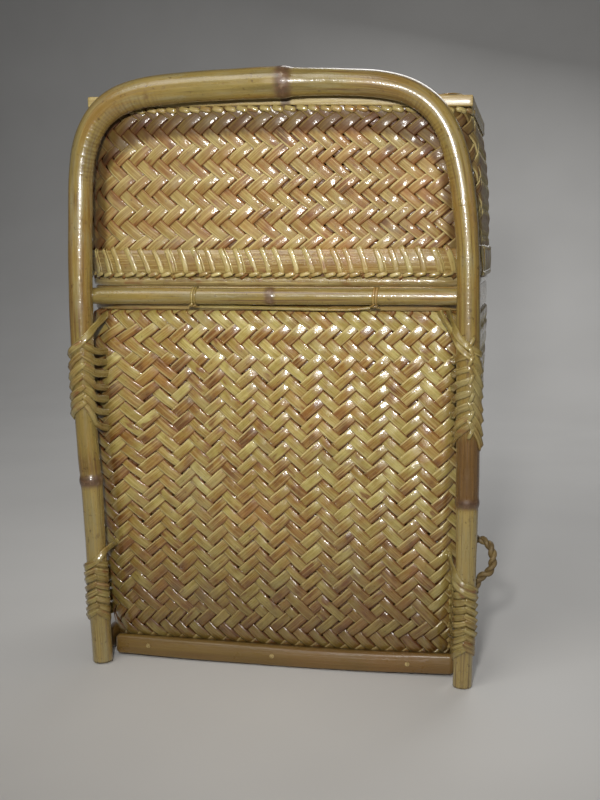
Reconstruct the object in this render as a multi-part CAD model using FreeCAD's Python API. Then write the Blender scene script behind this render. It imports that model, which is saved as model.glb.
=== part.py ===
# Woven cane pack basket with a lift-off lid and a bent cane frame. Millimetres, +Z up, front faces -Y.
# Origin: on the floor, under the middle of the basket.
import FreeCAD, Part
import math
import os

V = FreeCAD.Vector

# ---- driving dimensions -------------------------------------------------
Y_SHIFT = -79.0          # design plane y = 0 is the front wall; the origin is moved to the middle of the depth
WALL = 3.0               # woven wall, two strips thick
# wall sections: height, half width, front y, back y, corner radius
BODY = [
    (6.0, 127.0, 10.0, 160.0, 18.0),
    (10.0, 133.0, 4.5, 165.5, 22.0),
    (18.0, 137.5, 1.5, 169.5, 26.0),
    (40.0, 140.5, 0.3, 171.5, 29.0),
    (90.0, 142.0, 0.0, 173.0, 31.0),
    (140.0, 143.5, 0.0, 175.0, 33.0),
    (200.0, 146.0, 0.0, 177.0, 34.0),
    (250.0, 148.3, 0.0, 178.5, 35.0),
    (270.0, 148.5, 0.0, 178.5, 35.0),
    (273.0, 146.0, 1.0, 177.3, 34.0),
    (290.0, 144.8, 1.4, 176.8, 34.0),
    (330.0, 144.0, 1.6, 176.6, 33.5),
    (365.0, 142.8, 1.8, 176.4, 33.0),
]
LID = [
    (297.0, 150.0, -4.5, 182.5, 37.0),
    (340.0, 150.0, -4.5, 182.5, 35.0),
    (370.0, 148.6, -4.5, 182.5, 31.0),
    (395.0, 146.0, -4.3, 182.3, 25.0),
    (411.0, 142.8, -4.0, 182.0, 18.0),
    (422.0, 142.0, -4.0, 182.0, 16.0),
    (424.5, 139.0, -1.6, 179.6, 13.0),
]
HOOP_Z0, HOOP_Z1 = 272.4, 289.9      # flat hoop round the body, its top edge carries the lid
HOOP_OUT = (149.0, -2.7, 180.9, 37.0)
MOUTH_HOOP_Z0, MOUTH_HOOP_Z1, MOUTH_HOOP_T = 352.0, 363.0, 1.8

FRAME_Y = -17.5          # plane of the bent cane
LID_TILT = 1.44          # the lid's top edge climbs towards the left side, degrees
LID_TILT_BASE = (142.0, 422.3)
# centre line of the frame cane: x, z, radius
FRAME = [
    (-134.6, 0.0, 7.6), (-136.2, 40.0, 7.8), (-137.8, 90.0, 7.9), (-139.4, 135.0, 8.1), (-141.6, 165.0, 8.2),
    (-143.3, 205.0, 8.4), (-144.0, 255.0, 8.7), (-143.7, 305.0, 8.8), (-142.3, 345.0, 9.0), (-140.8, 372.0, 9.1),
    (-136.4, 394.0, 9.4), (-127.0, 411.3, 9.8), (-112.5, 422.8, 10.2), (-92.0, 429.0, 10.5), (-62.0, 431.9, 10.7),
    (-25.0, 433.0, 10.8), (4.0, 433.5, 10.8), (28.0, 433.3, 9.5), (52.0, 432.4, 9.2), (80.0, 430.0, 9.3), (101.0, 424.2, 9.1),
    (117.5, 412.4, 8.8), (128.4, 395.5, 8.6), (135.2, 373.0, 8.6), (139.2, 349.0, 8.5), (142.3, 315.0, 8.3),
    (143.2, 270.0, 8.3), (144.0, 220.0, 8.4), (144.3, 175.0, 8.4), (144.2, 142.0, 8.2), (144.0, 100.0, 7.3),
    (143.4, 55.0, 7.3), (142.4, 0.0, 7.2),
]
FOOT_ROUND = 2.5
FOOT_STEP = 0.4          # the rounded foot starts this much inside the cane
NODE_RINGS = [(-142.6, 143.5, 9.0, 4.0), (144.2, 136.0, 9.0, 4.2)]   # on the legs: x, z, radius, half height
ARCH_NODE = (13.0, 433.4, 11.2, 5.0)
ARCH_BACK_R = 9.9        # where the cane is thicker than this its middle stands further forward, so its back stays clear of the lid

RAIL_Z, RAIL_R, RAIL_Y = 282.9, 6.2, -8.9
TIES_X = (-57.9, 76.9)
TIE_T, TIE_W = 0.9, 3.6

SLAT_Z1 = 17.3
SLAT_T = 4.5
NAILS_X = (-101.8, -2.5, 100.8)
NAILS_Z = (10.2, 9.0, 9.2)
NAIL_HEAD_R, NAIL_SHANK_R = 1.7, 0.9
# front slat: x, front y, bottom z, top z; it bows out and sags a little
SLAT_FRONT = [(-129.0, -4.0, 2.0, 17.3), (-60.0, -6.2, 0.8, 16.2), (20.0, -7.0, 0.4, 15.7), (80.0, -6.2, 0.8, 16.1), (135.0, -4.0, 2.0, 17.3)]

STRAND_R = 1.35          # lashing strand
UPPER_L = dict(side=-1, z=(176.0, 246.0), n=7, lead=(268.0, 128.5))
UPPER_R = dict(side=1, z=(176.0, 244.0), n=7, lead=(270.0, 128.5))
LOWER_L = dict(side=-1, z=(36.0, 80.0), n=6, lead=(97.0, 126.0))
LOWER_R = dict(side=1, z=(34.0, 70.0), n=5, lead=(96.0, 129.0))

CORD_R = 3.1             # two-ply twisted cord
CORD_RIGHT = [(149.5, -8.6, 68.0), (151.5, -8.0, 79.0), (162.8, -4.5, 83.5), (162.3, -1.0, 101.0),
              (152.5, 5.0, 106.0), (139.2, 10.6, 103.0)]
CORD_LEFT = [(-143.8, -9.0, 68.0), (-145.5, -5.0, 79.0), (-150.5, 6.5, 84.0), (-153.0, 12.0, 98.0),
             (-150.5, 19.5, 105.5), (-144.0, 22.0, 103.0)]

RIM_Z0, RIM_Z1, RIM_T = 299.0, 317.2, 1.7
STITCH_N, STITCH_W, STITCH_T, STITCH_LEAN = 88, 3.1, 0.8, 3.2
RIM_HOOP_Z0, RIM_HOOP_Z1 = 289.9, 297.0
BRAID_Z0, BRAID_Z1 = 297.2, 299.0
TOP_SLAT_Z0, TOP_SLAT_Z1, TOP_SLAT_T = 414.4, 422.3, 1.7
TOP_BRAID_Z0, TOP_BRAID_Z1 = 411.0, 414.0

# ---- helpers --------------------------------------------------------------

def rrect(z, w, yf, yb, r):
    pts = [(-w + r, yf), (w - r, yf), (w, yf + r), (w, yb - r), (w - r, yb), (-w + r, yb), (-w, yb - r), (-w, yf + r)]
    c = [(w - r, yf + r, -90), (w - r, yb - r, 0), (-w + r, yb - r, 90), (-w + r, yf + r, 180)]
    edges = []
    for k in range(4):
        a, b = pts[2 * k], pts[2 * k + 1]
        edges.append(Part.makeLine(V(a[0], a[1], z), V(b[0], b[1], z)))
        cx, cy, a0 = c[k]
        p = [V(cx + r * math.cos(math.radians(a0 + t)), cy + r * math.sin(math.radians(a0 + t)), z) for t in (0, 45, 90)]
        edges.append(Part.Arc(p[0], p[1], p[2]).toShape())
    return Part.Wire(edges)


def at(secs, z):
    if z <= secs[0][0]:
        s = secs[0]
        return (z,) + tuple(s[1:])
    for a, b in zip(secs, secs[1:]):
        if a[0] <= z <= b[0]:
            t = (z - a[0]) / (b[0] - a[0])
            return (z,) + tuple(a[i] + (b[i] - a[i]) * t for i in range(1, 5))
    s = secs[-1]
    return (z,) + tuple(s[1:])


def grown(sec, d):
    z, w, yf, yb, r = sec
    return (z, w + d, yf - d, yb + d, max(r + d, 1.5))


def skin(secs):
    return Part.makeLoft([rrect(*s) for s in secs], True, True)


def tilted(shape, part=1.0):
    s = shape.copy()
    s.rotate(V(LID_TILT_BASE[0], 0, LID_TILT_BASE[1]), V(0, 1, 0), LID_TILT * part)
    return s


def lid_skin(secs):
    """The lid's wall is level at the rim and takes up the tilt of its top edge on the way up."""
    wires = []
    for s in secs:
        wires.append(tilted(rrect(*s), min(max((s[0] - 330.0) / 81.0, 0.0), 1.0)))
    return Part.makeLoft(wires, True, True)


def span(secs, z0, z1, d=0.0):
    zs = [z0] + [s[0] for s in secs if z0 + 0.2 < s[0] < z1 - 0.2] + [z1]
    return skin([grown(at(secs, z), d) for z in zs])


def ring(secs, z0, z1, d_in, d_out):
    return span(secs, z0, z1, d_out).cut(span(secs, z0 - 1.0, z1 + 1.0, d_in))


def save(name, shape):
    s = shape.copy()
    s.translate(V(0, Y_SHIFT, 0))
    solids = s.Solids
    assert solids, name
    for q in solids:
        assert q.isValid(), name
    out = solids[0] if len(solids) == 1 else Part.makeCompound(solids)
    out.exportStep("parts/%s.step" % name)
    b = out.BoundBox
    print("%-24s solids %3d volume %9.0f  x %.1f..%.1f y %.1f..%.1f z %.1f..%.1f" % (
        name, len(solids), sum(q.Volume for q in solids), b.XMin, b.XMax, b.YMin, b.YMax, b.ZMin, b.ZMax))


def circle_wire(p, t, r):
    return Part.Wire([Part.Circle(p, t, r).toShape()])


def tube(points, r):
    curve = Part.BSplineCurve()
    curve.interpolate([V(*p) for p in points])
    path = Part.Wire([curve.toShape()])
    t = curve.tangent(curve.FirstParameter)[0]
    pipe = Part.BRepOffsetAPI.MakePipeShell(path)
    pipe.setFrenetMode(False)
    pipe.add(circle_wire(V(*points[0]), t, r))
    pipe.build()
    pipe.makeSolid()
    return pipe.shape()


def cord(points, r, label):
    """Straight runs joined by tangent arcs."""
    p = [V(*q) for q in points]
    edges, last, length = [], p[0], 0.0
    radii = []
    for a, b, c in zip(p, p[1:], p[2:]):
        u, w = (a - b).normalize(), (c - b).normalize()
        turn = math.pi - u.getAngle(w)
        rad = 0.45 * min((a - b).Length, (c - b).Length) / math.tan(turn / 2)
        cut = rad * math.tan(turn / 2)
        s, e = b + u * cut, b + w * cut
        mid = b + (u + w).normalize() * (rad / math.cos(turn / 2) - rad)
        edges.append(Part.makeLine(last, s))
        edges.append(Part.Arc(s, mid, e).toShape())
        last = e
        radii.append((round(rad, 1), round(math.degrees(turn))))
    edges.append(Part.makeLine(last, p[-1]))
    path = Part.Wire(edges)
    pipe = Part.BRepOffsetAPI.MakePipeShell(path)
    pipe.setFrenetMode(False)
    pipe.setTransitionMode(1)
    pipe.add(circle_wire(p[0], (p[1] - p[0]).normalize(), r))
    pipe.build()
    pipe.makeSolid()
    s = pipe.shape()
    if s.Volume < 0:
        s = s.reversed()
    print(label, "length %.1f radii %s volume %.0f section x length %.0f" % (
        path.Length, radii, s.Volume, math.pi * r * r * path.Length))
    return s


def leg_at(side, z):
    rows = [f for f in FRAME if f[0] * side > 0 and f[1] < 400]
    rows.sort(key=lambda f: f[1])
    for a, b in zip(rows, rows[1:]):
        if a[1] <= z <= b[1]:
            t = (z - a[1]) / (b[1] - a[1])
            return a[0] + (b[0] - a[0]) * t, a[2] + (b[2] - a[2]) * t
    return rows[0][0], rows[0][2]


def wall_y(x, z):
    """Front surface of the wall at x, out to the corner."""
    _, w, yf, yb, r = at(BODY, z)
    ax = abs(x)
    if ax <= w - r:
        return yf
    d = min(ax - (w - r), r)
    return yf + r - math.sqrt(max(r * r - d * d, 0.0))


# ---- body -----------------------------------------------------------------
os.makedirs("parts", exist_ok=True)

body_outer = skin(BODY)
inner = [grown((9.0,) + BODY[0][1:], -WALL)] + [grown(s, -WALL) for s in BODY[1:]]
inner[0] = (9.0, 125.5, 9.5, 160.5, 16.0)
inner[1] = (12.0, 130.0, 6.8, 163.2, 19.0)
inner[-1] = (366.0,) + inner[-1][1:]
body_inner = skin(inner)
body_shell = body_outer.cut(body_inner)
save("body_shell", body_shell)

hoop_outer = skin([(HOOP_Z0,) + HOOP_OUT, (HOOP_Z1,) + HOOP_OUT])
body_hoop = hoop_outer.cut(body_outer)
save("body_hoop", body_hoop)

mouth = ring(BODY, MOUTH_HOOP_Z0, MOUTH_HOOP_Z1, -WALL - MOUTH_HOOP_T, -WALL)
mouth = mouth.cut(body_shell)
save("body_mouth_inner_hoop", mouth)

# frame cane
sections = []
n = len(FRAME)
for k, (x, z, r) in enumerate(FRAME):
    a, b = FRAME[max(k - 1, 0)], FRAME[min(k + 1, n - 1)]
    t = V(b[0] - a[0], 0, b[1] - a[1])
    if k in (0, n - 1):
        t = V(0, 0, 1 if k == 0 else -1)
        z = FOOT_ROUND - FOOT_STEP
    sections.append(circle_wire(V(x, FRAME_Y - max(r - ARCH_BACK_R, 0.0), z), t, r))
frame = Part.makeLoft(sections, True, False)
if frame.Volume < 0:
    frame = frame.reversed()


def node_ring(x, z, r, h, axis):
    c = V(x, FRAME_Y - max(r - ARCH_BACK_R - 0.3, 0.0), z)
    q = Part.makeCylinder(r, 2 * h, c - axis * h, axis)
    q = q.makeChamfer(r * 0.12, [e for e in q.Edges if abs(e.Length - 2 * math.pi * r) < 1])
    q.rotate(c, axis, 37)
    return q


rings = [node_ring(x, z, r, h, V(0, 0, 1)) for x, z, r, h in NODE_RINGS]
rings.append(node_ring(ARCH_NODE[0], ARCH_NODE[1], ARCH_NODE[2], ARCH_NODE[3], V(1, 0, 0)))
# rounded feet
for k in (0, n - 1):
    x, z, r = FRAME[k]
    foot = Part.makeCone(r - FOOT_ROUND, r - FOOT_STEP, FOOT_ROUND, V(x, FRAME_Y, 0))
    foot.rotate(V(x, FRAME_Y, 0), V(0, 0, 1), 53)
    rings.append(foot)
frame = frame.fuse(rings)
save("frame_cane", frame)

# mid rail, ends shaped to the legs
rail = Part.makeCylinder(RAIL_R, 276.0, V(-138.0, RAIL_Y, RAIL_Z), V(1, 0, 0))
rail = rail.cut(body_hoop).cut(body_outer).cut(frame)
rail = sorted(rail.Solids, key=lambda s: -s.Volume)[0]
save("mid_rail", rail)

ties = []
for name, x in (("mid_rail_tie_left", TIES_X[0]), ("mid_rail_tie_right", TIES_X[1])):
    # a band round the rail, open at the back where the rail bears on the hoop, with a small knot under its front
    prof = Part.makePolygon([V(x - TIE_W / 2, RAIL_Y, RAIL_Z + RAIL_R), V(x + TIE_W / 2, RAIL_Y, RAIL_Z + RAIL_R),
                             V(x + TIE_W / 2, RAIL_Y, RAIL_Z + RAIL_R + TIE_T), V(x - TIE_W / 2, RAIL_Y, RAIL_Z + RAIL_R + TIE_T),
                             V(x - TIE_W / 2, RAIL_Y, RAIL_Z + RAIL_R)])
    face = Part.Face(prof)
    c = V(x, RAIL_Y, RAIL_Z)
    face.rotate(c, V(1, 0, 0), -50.0)
    t = face.revolve(c, V(1, 0, 0), 280.0)
    if t.Volume < 0:
        t = t.reversed()
    a = math.radians(240.0)
    d = V(0, math.cos(a), math.sin(a))
    knot = Part.makeCylinder(2.3, RAIL_R + 2.6, c, d).cut(Part.makeCylinder(RAIL_R, 12, V(x - 6, RAIL_Y, RAIL_Z), V(1, 0, 0)))
    t = t.fuse(sorted(knot.Solids, key=lambda q: -q.Volume)[0])
    t = sorted(t.Solids, key=lambda q: -q.Volume)[0]
    save(name, t)
    ties.append(t)
tie_l, tie_r = ties

strand_pts = [(TIES_X[0] + 2.0, -4.1, 274.6), (-20.0, -4.1, 274.2), (20.0, -4.1, 273.6), (55.0, -4.1, 273.6), (TIES_X[1] - 2.0, -4.1, 275.2)]
strand = tube(strand_pts, 1.3)
strand = strand.cut(body_hoop).cut(rail).cut(body_outer).cut(tie_l).cut(tie_r)
strand = sorted(strand.Solids, key=lambda s: -s.Volume)[0]
save("mid_rail_strand", strand)

# base slats
nails = []
for x, zn in zip(NAILS_X, NAILS_Z):
    for a, b in zip(SLAT_FRONT, SLAT_FRONT[1:]):
        if a[0] <= x <= b[0]:
            yn = a[1] + (b[1] - a[1]) * (x - a[0]) / (b[0] - a[0])
    for y, d in ((yn, 1), (175.0, -1)):
        shank = Part.makeCylinder(NAIL_SHANK_R, 5.0, V(x, y, zn), V(0, d, 0))
        head = Part.makeCylinder(NAIL_HEAD_R, 1.2, V(x, y - d * 0.6, zn), V(0, d, 0))
        nails.append(shank.fuse(head))
nail_all = Part.makeCompound(nails)


def slat(x0, x1, y0, y1, z0, z1, edges):
    b = Part.makeBox(x1 - x0, y1 - y0, z1 - z0, V(x0, y0, z0))
    pick = []
    for e in b.Edges:
        c = e.BoundBox
        if edges(c):
            pick.append(e)
    return b.makeFillet(1.6, pick) if pick else b


side = [V(x, -20.0, zb) for x, y, zb, zt in SLAT_FRONT] + [V(x, -20.0, zt) for x, y, zb, zt in reversed(SLAT_FRONT)]
plan = [V(x, y, -5.0) for x, y, zb, zt in SLAT_FRONT] + [V(SLAT_FRONT[-1][0], 6.0, -5.0), V(SLAT_FRONT[0][0], 6.0, -5.0)]
slat_f = Part.Face(Part.makePolygon(side + [side[0]])).extrude(V(0, 40, 0))
slat_f = slat_f.common(Part.Face(Part.makePolygon(plan + [plan[0]])).extrude(V(0, 0, 40)))
slat_f = slat_f.cut(body_outer).cut(frame).cut(nail_all)
slat_f = sorted(slat_f.Solids, key=lambda s: -s.Volume)[0]
save("bottom_slat_front", slat_f)
slat_b = slat(-138.0, 138.0, 167.0, 175.0, 0.0, SLAT_Z1,
              lambda c: c.YMin > 174.9 and (c.XLength > 100 and c.ZMin > 5 or c.ZLength > 5))
slat_b = slat_b.cut(body_outer).cut(nail_all)
slat_b = sorted(slat_b.Solids, key=lambda s: -s.Volume)[0]
save("bottom_slat_back", slat_b)
for name, sx in (("bottom_slat_left", -1), ("bottom_slat_right", 1)):
    x0, x1 = (133.0, 142.5) if sx > 0 else (-142.5, -133.0)
    s = slat(x0, x1, 8.0, 166.9, 2.0, SLAT_Z1,
             lambda c: (c.XMin > 142.4 or c.XMax < -142.4) and (c.YLength > 100 or c.ZLength > 5))
    s = s.cut(body_outer).cut(slat_b).cut(slat_f)
    s = sorted(s.Solids, key=lambda q: -q.Volume)[0]
    save(name, s)
save("bottom_slat_nails", nail_all)

# cords
cord_r = cord(CORD_RIGHT, CORD_R, "cord_loop_right")
cord_l = cord(CORD_LEFT, CORD_R, "cord_loop_left")
cord_r = cord_r.cut(frame).cut(body_outer)
cord_l = cord_l.cut(frame).cut(body_outer)
cord_r = sorted(cord_r.Solids, key=lambda s: -s.Volume)[0]
cord_l = sorted(cord_l.Solids, key=lambda s: -s.Volume)[0]
save("cord_loop_right", cord_r)
save("cord_loop_left", cord_l)


# lashings: strands round the leg with both ends in the wall, and a plaited ridge down the leg
def loop(side, z, drop_in, drop_out, x_in=None):
    x, r = leg_at(side, z)
    rr = r + STRAND_R
    xi = (abs(x) - rr - 1.8) if x_in is None else x_in
    zi = z - drop_in
    zo = z - drop_out
    xo = at(BODY, zo)[1] - 3.2
    pts = [(xi, wall_y(xi, zi) + 1.2, zi),
           (abs(x) - rr + 0.2, FRAME_Y + 4.0, z - drop_in * 0.45)]
    for a in (175, 220, 265, 310, 355):
        t = (a - 175) / 180.0
        pts.append((abs(x) + rr * math.cos(math.radians(a)), FRAME_Y + rr * math.sin(math.radians(a)), z + 1.5 * math.sin(math.pi * t)))
    pts.append((abs(x) + rr - 1.0, FRAME_Y + 8.0, z - drop_out * 0.3))
    pts.append((xo, wall_y(xo, zo) + 1.0, zo))
    return tube([(side * p[0], p[1], p[2]) for p in pts], STRAND_R)


def lashing(name, side, z, n, lead, avoid):
    z0, z1 = z
    parts = []
    for k in range(n):
        zz = z0 + (z1 - z0) * k / (n - 1)
        parts.append(loop(side, zz, 10.0 if n > 6 else 5.0, 2.0))
    # leading strand from the wall, crossing the leg from above
    x, r = leg_at(side, z1 + 4)
    rr = r + STRAND_R + 0.6
    zl, xl = lead
    pts = [(xl, wall_y(xl, zl) + 1.0, zl), (abs(x) - rr * 0.85, FRAME_Y - rr * 0.35, (zl * 0.45 + z1 * 0.55) + 3),
           (abs(x), FRAME_Y - rr, z1 + 7), (abs(x) + rr * 0.8, FRAME_Y - rr * 0.5, z1 + 3.5), (abs(x) + rr, FRAME_Y + 2.0, z1 + 1)]
    parts.append(tube([(side * p[0], p[1], p[2]) for p in pts], STRAND_R))
    # ridge where the strands cross
    a = math.radians(295)
    xb, rb = leg_at(side, z0)
    xt, rt = leg_at(side, z1)
    p0 = V(side * (abs(xb) + (rb + STRAND_R + 0.9) * math.cos(a)), FRAME_Y + (rb + STRAND_R + 0.9) * math.sin(a), z0 - 3)
    p1 = V(side * (abs(xt) + (rt + STRAND_R + 0.9) * math.cos(a)), FRAME_Y + (rt + STRAND_R + 0.9) * math.sin(a), z1 + 4)
    d = p1 - p0
    parts.append(Part.makeCylinder(2.1, d.Length, p0, d))
    s = parts[0].multiFuse(parts[1:])
    s = s.cut(frame).cut(body_outer).cut(body_hoop)
    for o in avoid:
        s = s.cut(o)
    s = sorted(s.Solids, key=lambda q: -q.Volume)
    keep = [q for q in s if q.Volume > 20]
    print(name, "pieces", [round(q.Volume) for q in s][:6])
    save(name, keep[0] if len(keep) == 1 else Part.makeCompound(keep))


lashing("lashing_upper_left", avoid=[rail], **UPPER_L)
lashing("lashing_upper_right", avoid=[rail], **UPPER_R)
lashing("lashing_lower_left", avoid=[cord_l, slat_f], **LOWER_L)
lashing("lashing_lower_right", avoid=[cord_r, slat_f], **LOWER_R)

# ---- lid -----------------------------------------------------------------
lid_level = skin(LID)
lid_outer = lid_skin(LID)
lin = [grown(s, -WALL) for s in LID[:-1]]
lin[0] = (296.0,) + lin[0][1:]
lin[-1] = (421.5,) + lin[-1][1:]
lid_inner = lid_skin(lin)
lid_shell = lid_outer.cut(lid_inner)
save("lid_shell", lid_shell)

rim_hoop = ring([(280.0, 149.4, -3.9, 181.9, 36.4), (300.0, 149.4, -3.9, 181.9, 36.4)], RIM_HOOP_Z0, RIM_HOOP_Z1, -3.3, 0.0)
save("lid_rim_hoop", rim_hoop)
rim_band = ring(LID, RIM_Z0, RIM_Z1, 0.0, RIM_T).cut(lid_shell)
save("lid_rim_band", rim_band)
rim_in = ring(LID, RIM_Z0 + 1.0, RIM_Z1 - 1.0, -WALL - 1.1, -WALL).cut(lid_shell)
save("lid_rim_inner_band", rim_in)
braid = ring(LID, BRAID_Z0, BRAID_Z1, 0.0, RIM_T + 0.5).cut(lid_shell)
save("lid_rim_braid", braid)


def walk(sec, n):
    """n points round a rounded rectangle with outward normals."""
    z, w, yf, yb, r = sec
    segs = []
    lx, ly = 2 * (w - r), (yb - yf) - 2 * r
    q = math.pi * r / 2
    total = 2 * lx + 2 * ly + 4 * q
    out = []
    for k in range(n):
        s = (k + 0.5) * total / n
        if s < lx:
            out.append((-w + r + s, yf, 0.0, -1.0)); continue
        s -= lx
        if s < q:
            a = -math.pi / 2 + s / r
            out.append((w - r + r * math.cos(a), yf + r + r * math.sin(a), math.cos(a), math.sin(a))); continue
        s -= q
        if s < ly:
            out.append((w, yf + r + s, 1.0, 0.0)); continue
        s -= ly
        if s < q:
            a = s / r
            out.append((w - r + r * math.cos(a), yb - r + r * math.sin(a), math.cos(a), math.sin(a))); continue
        s -= q
        if s < lx:
            out.append((w - r - s, yb, 0.0, 1.0)); continue
        s -= lx
        if s < q:
            a = math.pi / 2 + s / r
            out.append((-w + r + r * math.cos(a), yb - r + r * math.sin(a), math.cos(a), math.sin(a))); continue
        s -= q
        if s < ly:
            out.append((-w, yb - r - s, -1.0, 0.0)); continue
        s -= ly
        a = math.pi + s / r
        out.append((-w + r + r * math.cos(a), yf + r + r * math.sin(a), math.cos(a), math.sin(a)))
    return out


band_outer = span(LID, RIM_Z0 - 1, RIM_Z1 + 1, RIM_T)
stitches = []
zm = (RIM_Z0 + RIM_Z1) / 2
hh = (RIM_Z1 - RIM_Z0) / 2 - 0.2
for x, y, nx, ny in walk(grown(at(LID, zm), RIM_T), STITCH_N):
    tx, ty = -ny, nx
    corner = abs(nx) > 0.01 and abs(ny) > 0.01
    lo = -0.35 if corner else 0.0
    pts = []
    for du, dz in ((-STITCH_W / 2 - STITCH_LEAN, hh), (STITCH_W / 2 - STITCH_LEAN, hh), (STITCH_W / 2 + STITCH_LEAN, -hh), (-STITCH_W / 2 + STITCH_LEAN, -hh)):
        pts.append(V(x + tx * du + nx * lo, y + ty * du + ny * lo, zm + dz))
    face = Part.Face(Part.makePolygon(pts + [pts[0]]))
    s = face.extrude(V(nx, ny, 0) * (STITCH_T - lo))
    if corner:
        s = s.cut(band_outer)
    stitches.append(s.Solids[0])
save("lid_rim_stitching", Part.makeCompound(stitches))

zt0, zt1 = TOP_SLAT_Z0, TOP_SLAT_Z1
XW, YF, YB = 142.0, -4.0, 182.0
t = TOP_SLAT_T
save("lid_top_slat_front", tilted(Part.makeBox(2 * (XW + t), t, zt1 - zt0, V(-XW - t, YF - t, zt0)).cut(lid_level)).cut(lid_outer))
save("lid_top_slat_back", tilted(Part.makeBox(2 * (XW + t), t, zt1 - zt0, V(-XW - t, YB, zt0)).cut(lid_level)).cut(lid_outer))
save("lid_top_slat_left", tilted(Part.makeBox(t, YB - YF, zt1 - zt0, V(-XW - t, YF, zt0)).cut(lid_level)).cut(lid_outer))
save("lid_top_slat_right", tilted(Part.makeBox(t, YB - YF, zt1 - zt0, V(XW, YF, zt0)).cut(lid_level)).cut(lid_outer))
tb = tilted(ring(LID, TOP_BRAID_Z0, TOP_BRAID_Z1, 0.0, 1.5)).cut(lid_outer)
save("lid_top_edge_braid", tb)
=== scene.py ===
import bpy, math, random
import numpy as np
from mathutils import Vector, Matrix


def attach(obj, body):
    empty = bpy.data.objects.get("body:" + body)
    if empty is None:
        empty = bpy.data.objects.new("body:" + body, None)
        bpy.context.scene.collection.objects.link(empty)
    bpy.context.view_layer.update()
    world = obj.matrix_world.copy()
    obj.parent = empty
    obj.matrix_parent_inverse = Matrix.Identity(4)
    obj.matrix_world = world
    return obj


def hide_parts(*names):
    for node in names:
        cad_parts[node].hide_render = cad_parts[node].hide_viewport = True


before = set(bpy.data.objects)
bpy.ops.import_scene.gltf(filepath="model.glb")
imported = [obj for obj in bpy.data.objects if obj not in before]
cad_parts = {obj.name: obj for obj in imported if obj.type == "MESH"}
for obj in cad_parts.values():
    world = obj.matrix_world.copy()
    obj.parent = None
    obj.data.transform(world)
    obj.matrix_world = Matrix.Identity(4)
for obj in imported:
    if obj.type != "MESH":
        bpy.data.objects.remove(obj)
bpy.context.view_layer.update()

YS = -79.0            # the CAD's design plane y = 0 is the front wall
rng = np.random.default_rng(20817)

# ---------------------------------------------------------------- shape data (mm, design axes), as in the CAD
BODY = [
    (6.0, 127.0, 10.0, 160.0, 18.0), (10.0, 133.0, 4.5, 165.5, 22.0), (18.0, 137.6, 1.5, 169.5, 24.9),
    (40.0, 140.9, 0.3, 171.5, 25.0), (90.0, 142.8, 0.0, 173.0, 23.0), (140.0, 144.3, 0.0, 175.0, 25.0),
    (200.0, 146.8, 0.0, 177.0, 26.0), (250.0, 149.1, 0.0, 178.5, 27.0), (270.0, 149.3, 0.0, 178.5, 27.0),
    (273.0, 146.0, 1.0, 177.3, 34.0), (290.0, 144.8, 1.4, 176.8, 34.0), (330.0, 144.0, 1.6, 176.6, 33.5),
    (365.0, 142.8, 1.8, 176.4, 33.0)]
LID = [
    (297.0, 150.0, -4.5, 182.5, 37.0), (340.0, 150.0, -4.5, 182.5, 35.0), (370.0, 148.6, -4.5, 182.5, 31.0),
    (395.0, 146.0, -4.3, 182.3, 25.0), (411.0, 142.8, -4.0, 182.0, 18.0), (422.0, 142.0, -4.0, 182.0, 16.0),
    (424.5, 139.0, -1.6, 179.6, 13.0)]
HOOP = [(272.4, 149.0, -2.7, 180.9, 37.0), (289.9, 149.0, -2.7, 180.9, 37.0)]
RIMHOOP = [(289.9, 149.4, -3.9, 181.9, 36.4), (297.0, 149.4, -3.9, 181.9, 36.4)]
FRAME_Y = -17.5
FRAME = [
    (-134.6, 0.0, 7.6), (-136.2, 40.0, 7.8), (-137.8, 90.0, 7.9), (-139.4, 135.0, 8.1), (-141.6, 165.0, 8.2),
    (-143.3, 205.0, 8.4), (-144.0, 255.0, 8.7), (-143.7, 305.0, 8.8), (-142.3, 345.0, 9.0), (-140.8, 372.0, 9.1),
    (-136.4, 394.0, 9.4), (-127.0, 411.3, 9.8), (-112.5, 422.8, 10.2), (-92.0, 429.0, 10.5), (-62.0, 431.9, 10.7),
    (-25.0, 433.0, 10.8), (4.0, 433.5, 10.8), (28.0, 433.3, 9.5), (52.0, 432.4, 9.2), (80.0, 430.0, 9.3), (101.0, 424.2, 9.1),
    (117.5, 412.4, 8.8), (128.4, 395.5, 8.6), (135.2, 373.0, 8.6), (139.2, 349.0, 8.5), (142.3, 315.0, 8.3),
    (143.2, 270.0, 8.3), (144.0, 220.0, 8.4), (144.3, 175.0, 8.4), (144.2, 142.0, 8.2), (144.0, 100.0, 7.3),
    (143.4, 55.0, 7.3), (142.4, 0.0, 7.2)]
RAIL_Z, RAIL_R, RAIL_Y = 282.9, 6.2, -8.9
TIES_X = (-57.9, 76.9)
CORD_R = 3.1
CORD_RIGHT = [(149.5, -8.6, 68.0), (151.5, -8.0, 79.0), (162.8, -4.5, 83.5), (162.3, -1.0, 101.0),
              (152.5, 5.0, 106.0), (139.2, 10.6, 103.0)]
CORD_LEFT = [(-143.8, -9.0, 68.0), (-145.5, -5.0, 79.0), (-150.5, 6.5, 84.0), (-153.0, 12.0, 98.0),
             (-150.5, 19.5, 105.5), (-144.0, 22.0, 103.0)]
SLAT_FRONT = [(-129.0, -4.0, 2.0, 17.3), (-60.0, -6.2, 0.8, 16.2), (20.0, -7.0, 0.4, 15.7), (80.0, -6.2, 0.8, 16.1), (135.0, -4.0, 2.0, 17.3)]
# how much the lid's top edge stands above level, along x
CLIMB = [(-165.0, 7.2), (-145.0, 7.0), (-110.0, 6.1), (-53.0, 5.7), (-11.5, 5.3), (16.0, 5.0), (43.0, 4.1), (65.0, 3.3), (87.0, 2.3), (100.0, 1.5),
         (129.0, 0.5), (145.0, 0.2), (165.0, 0.0)]


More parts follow.
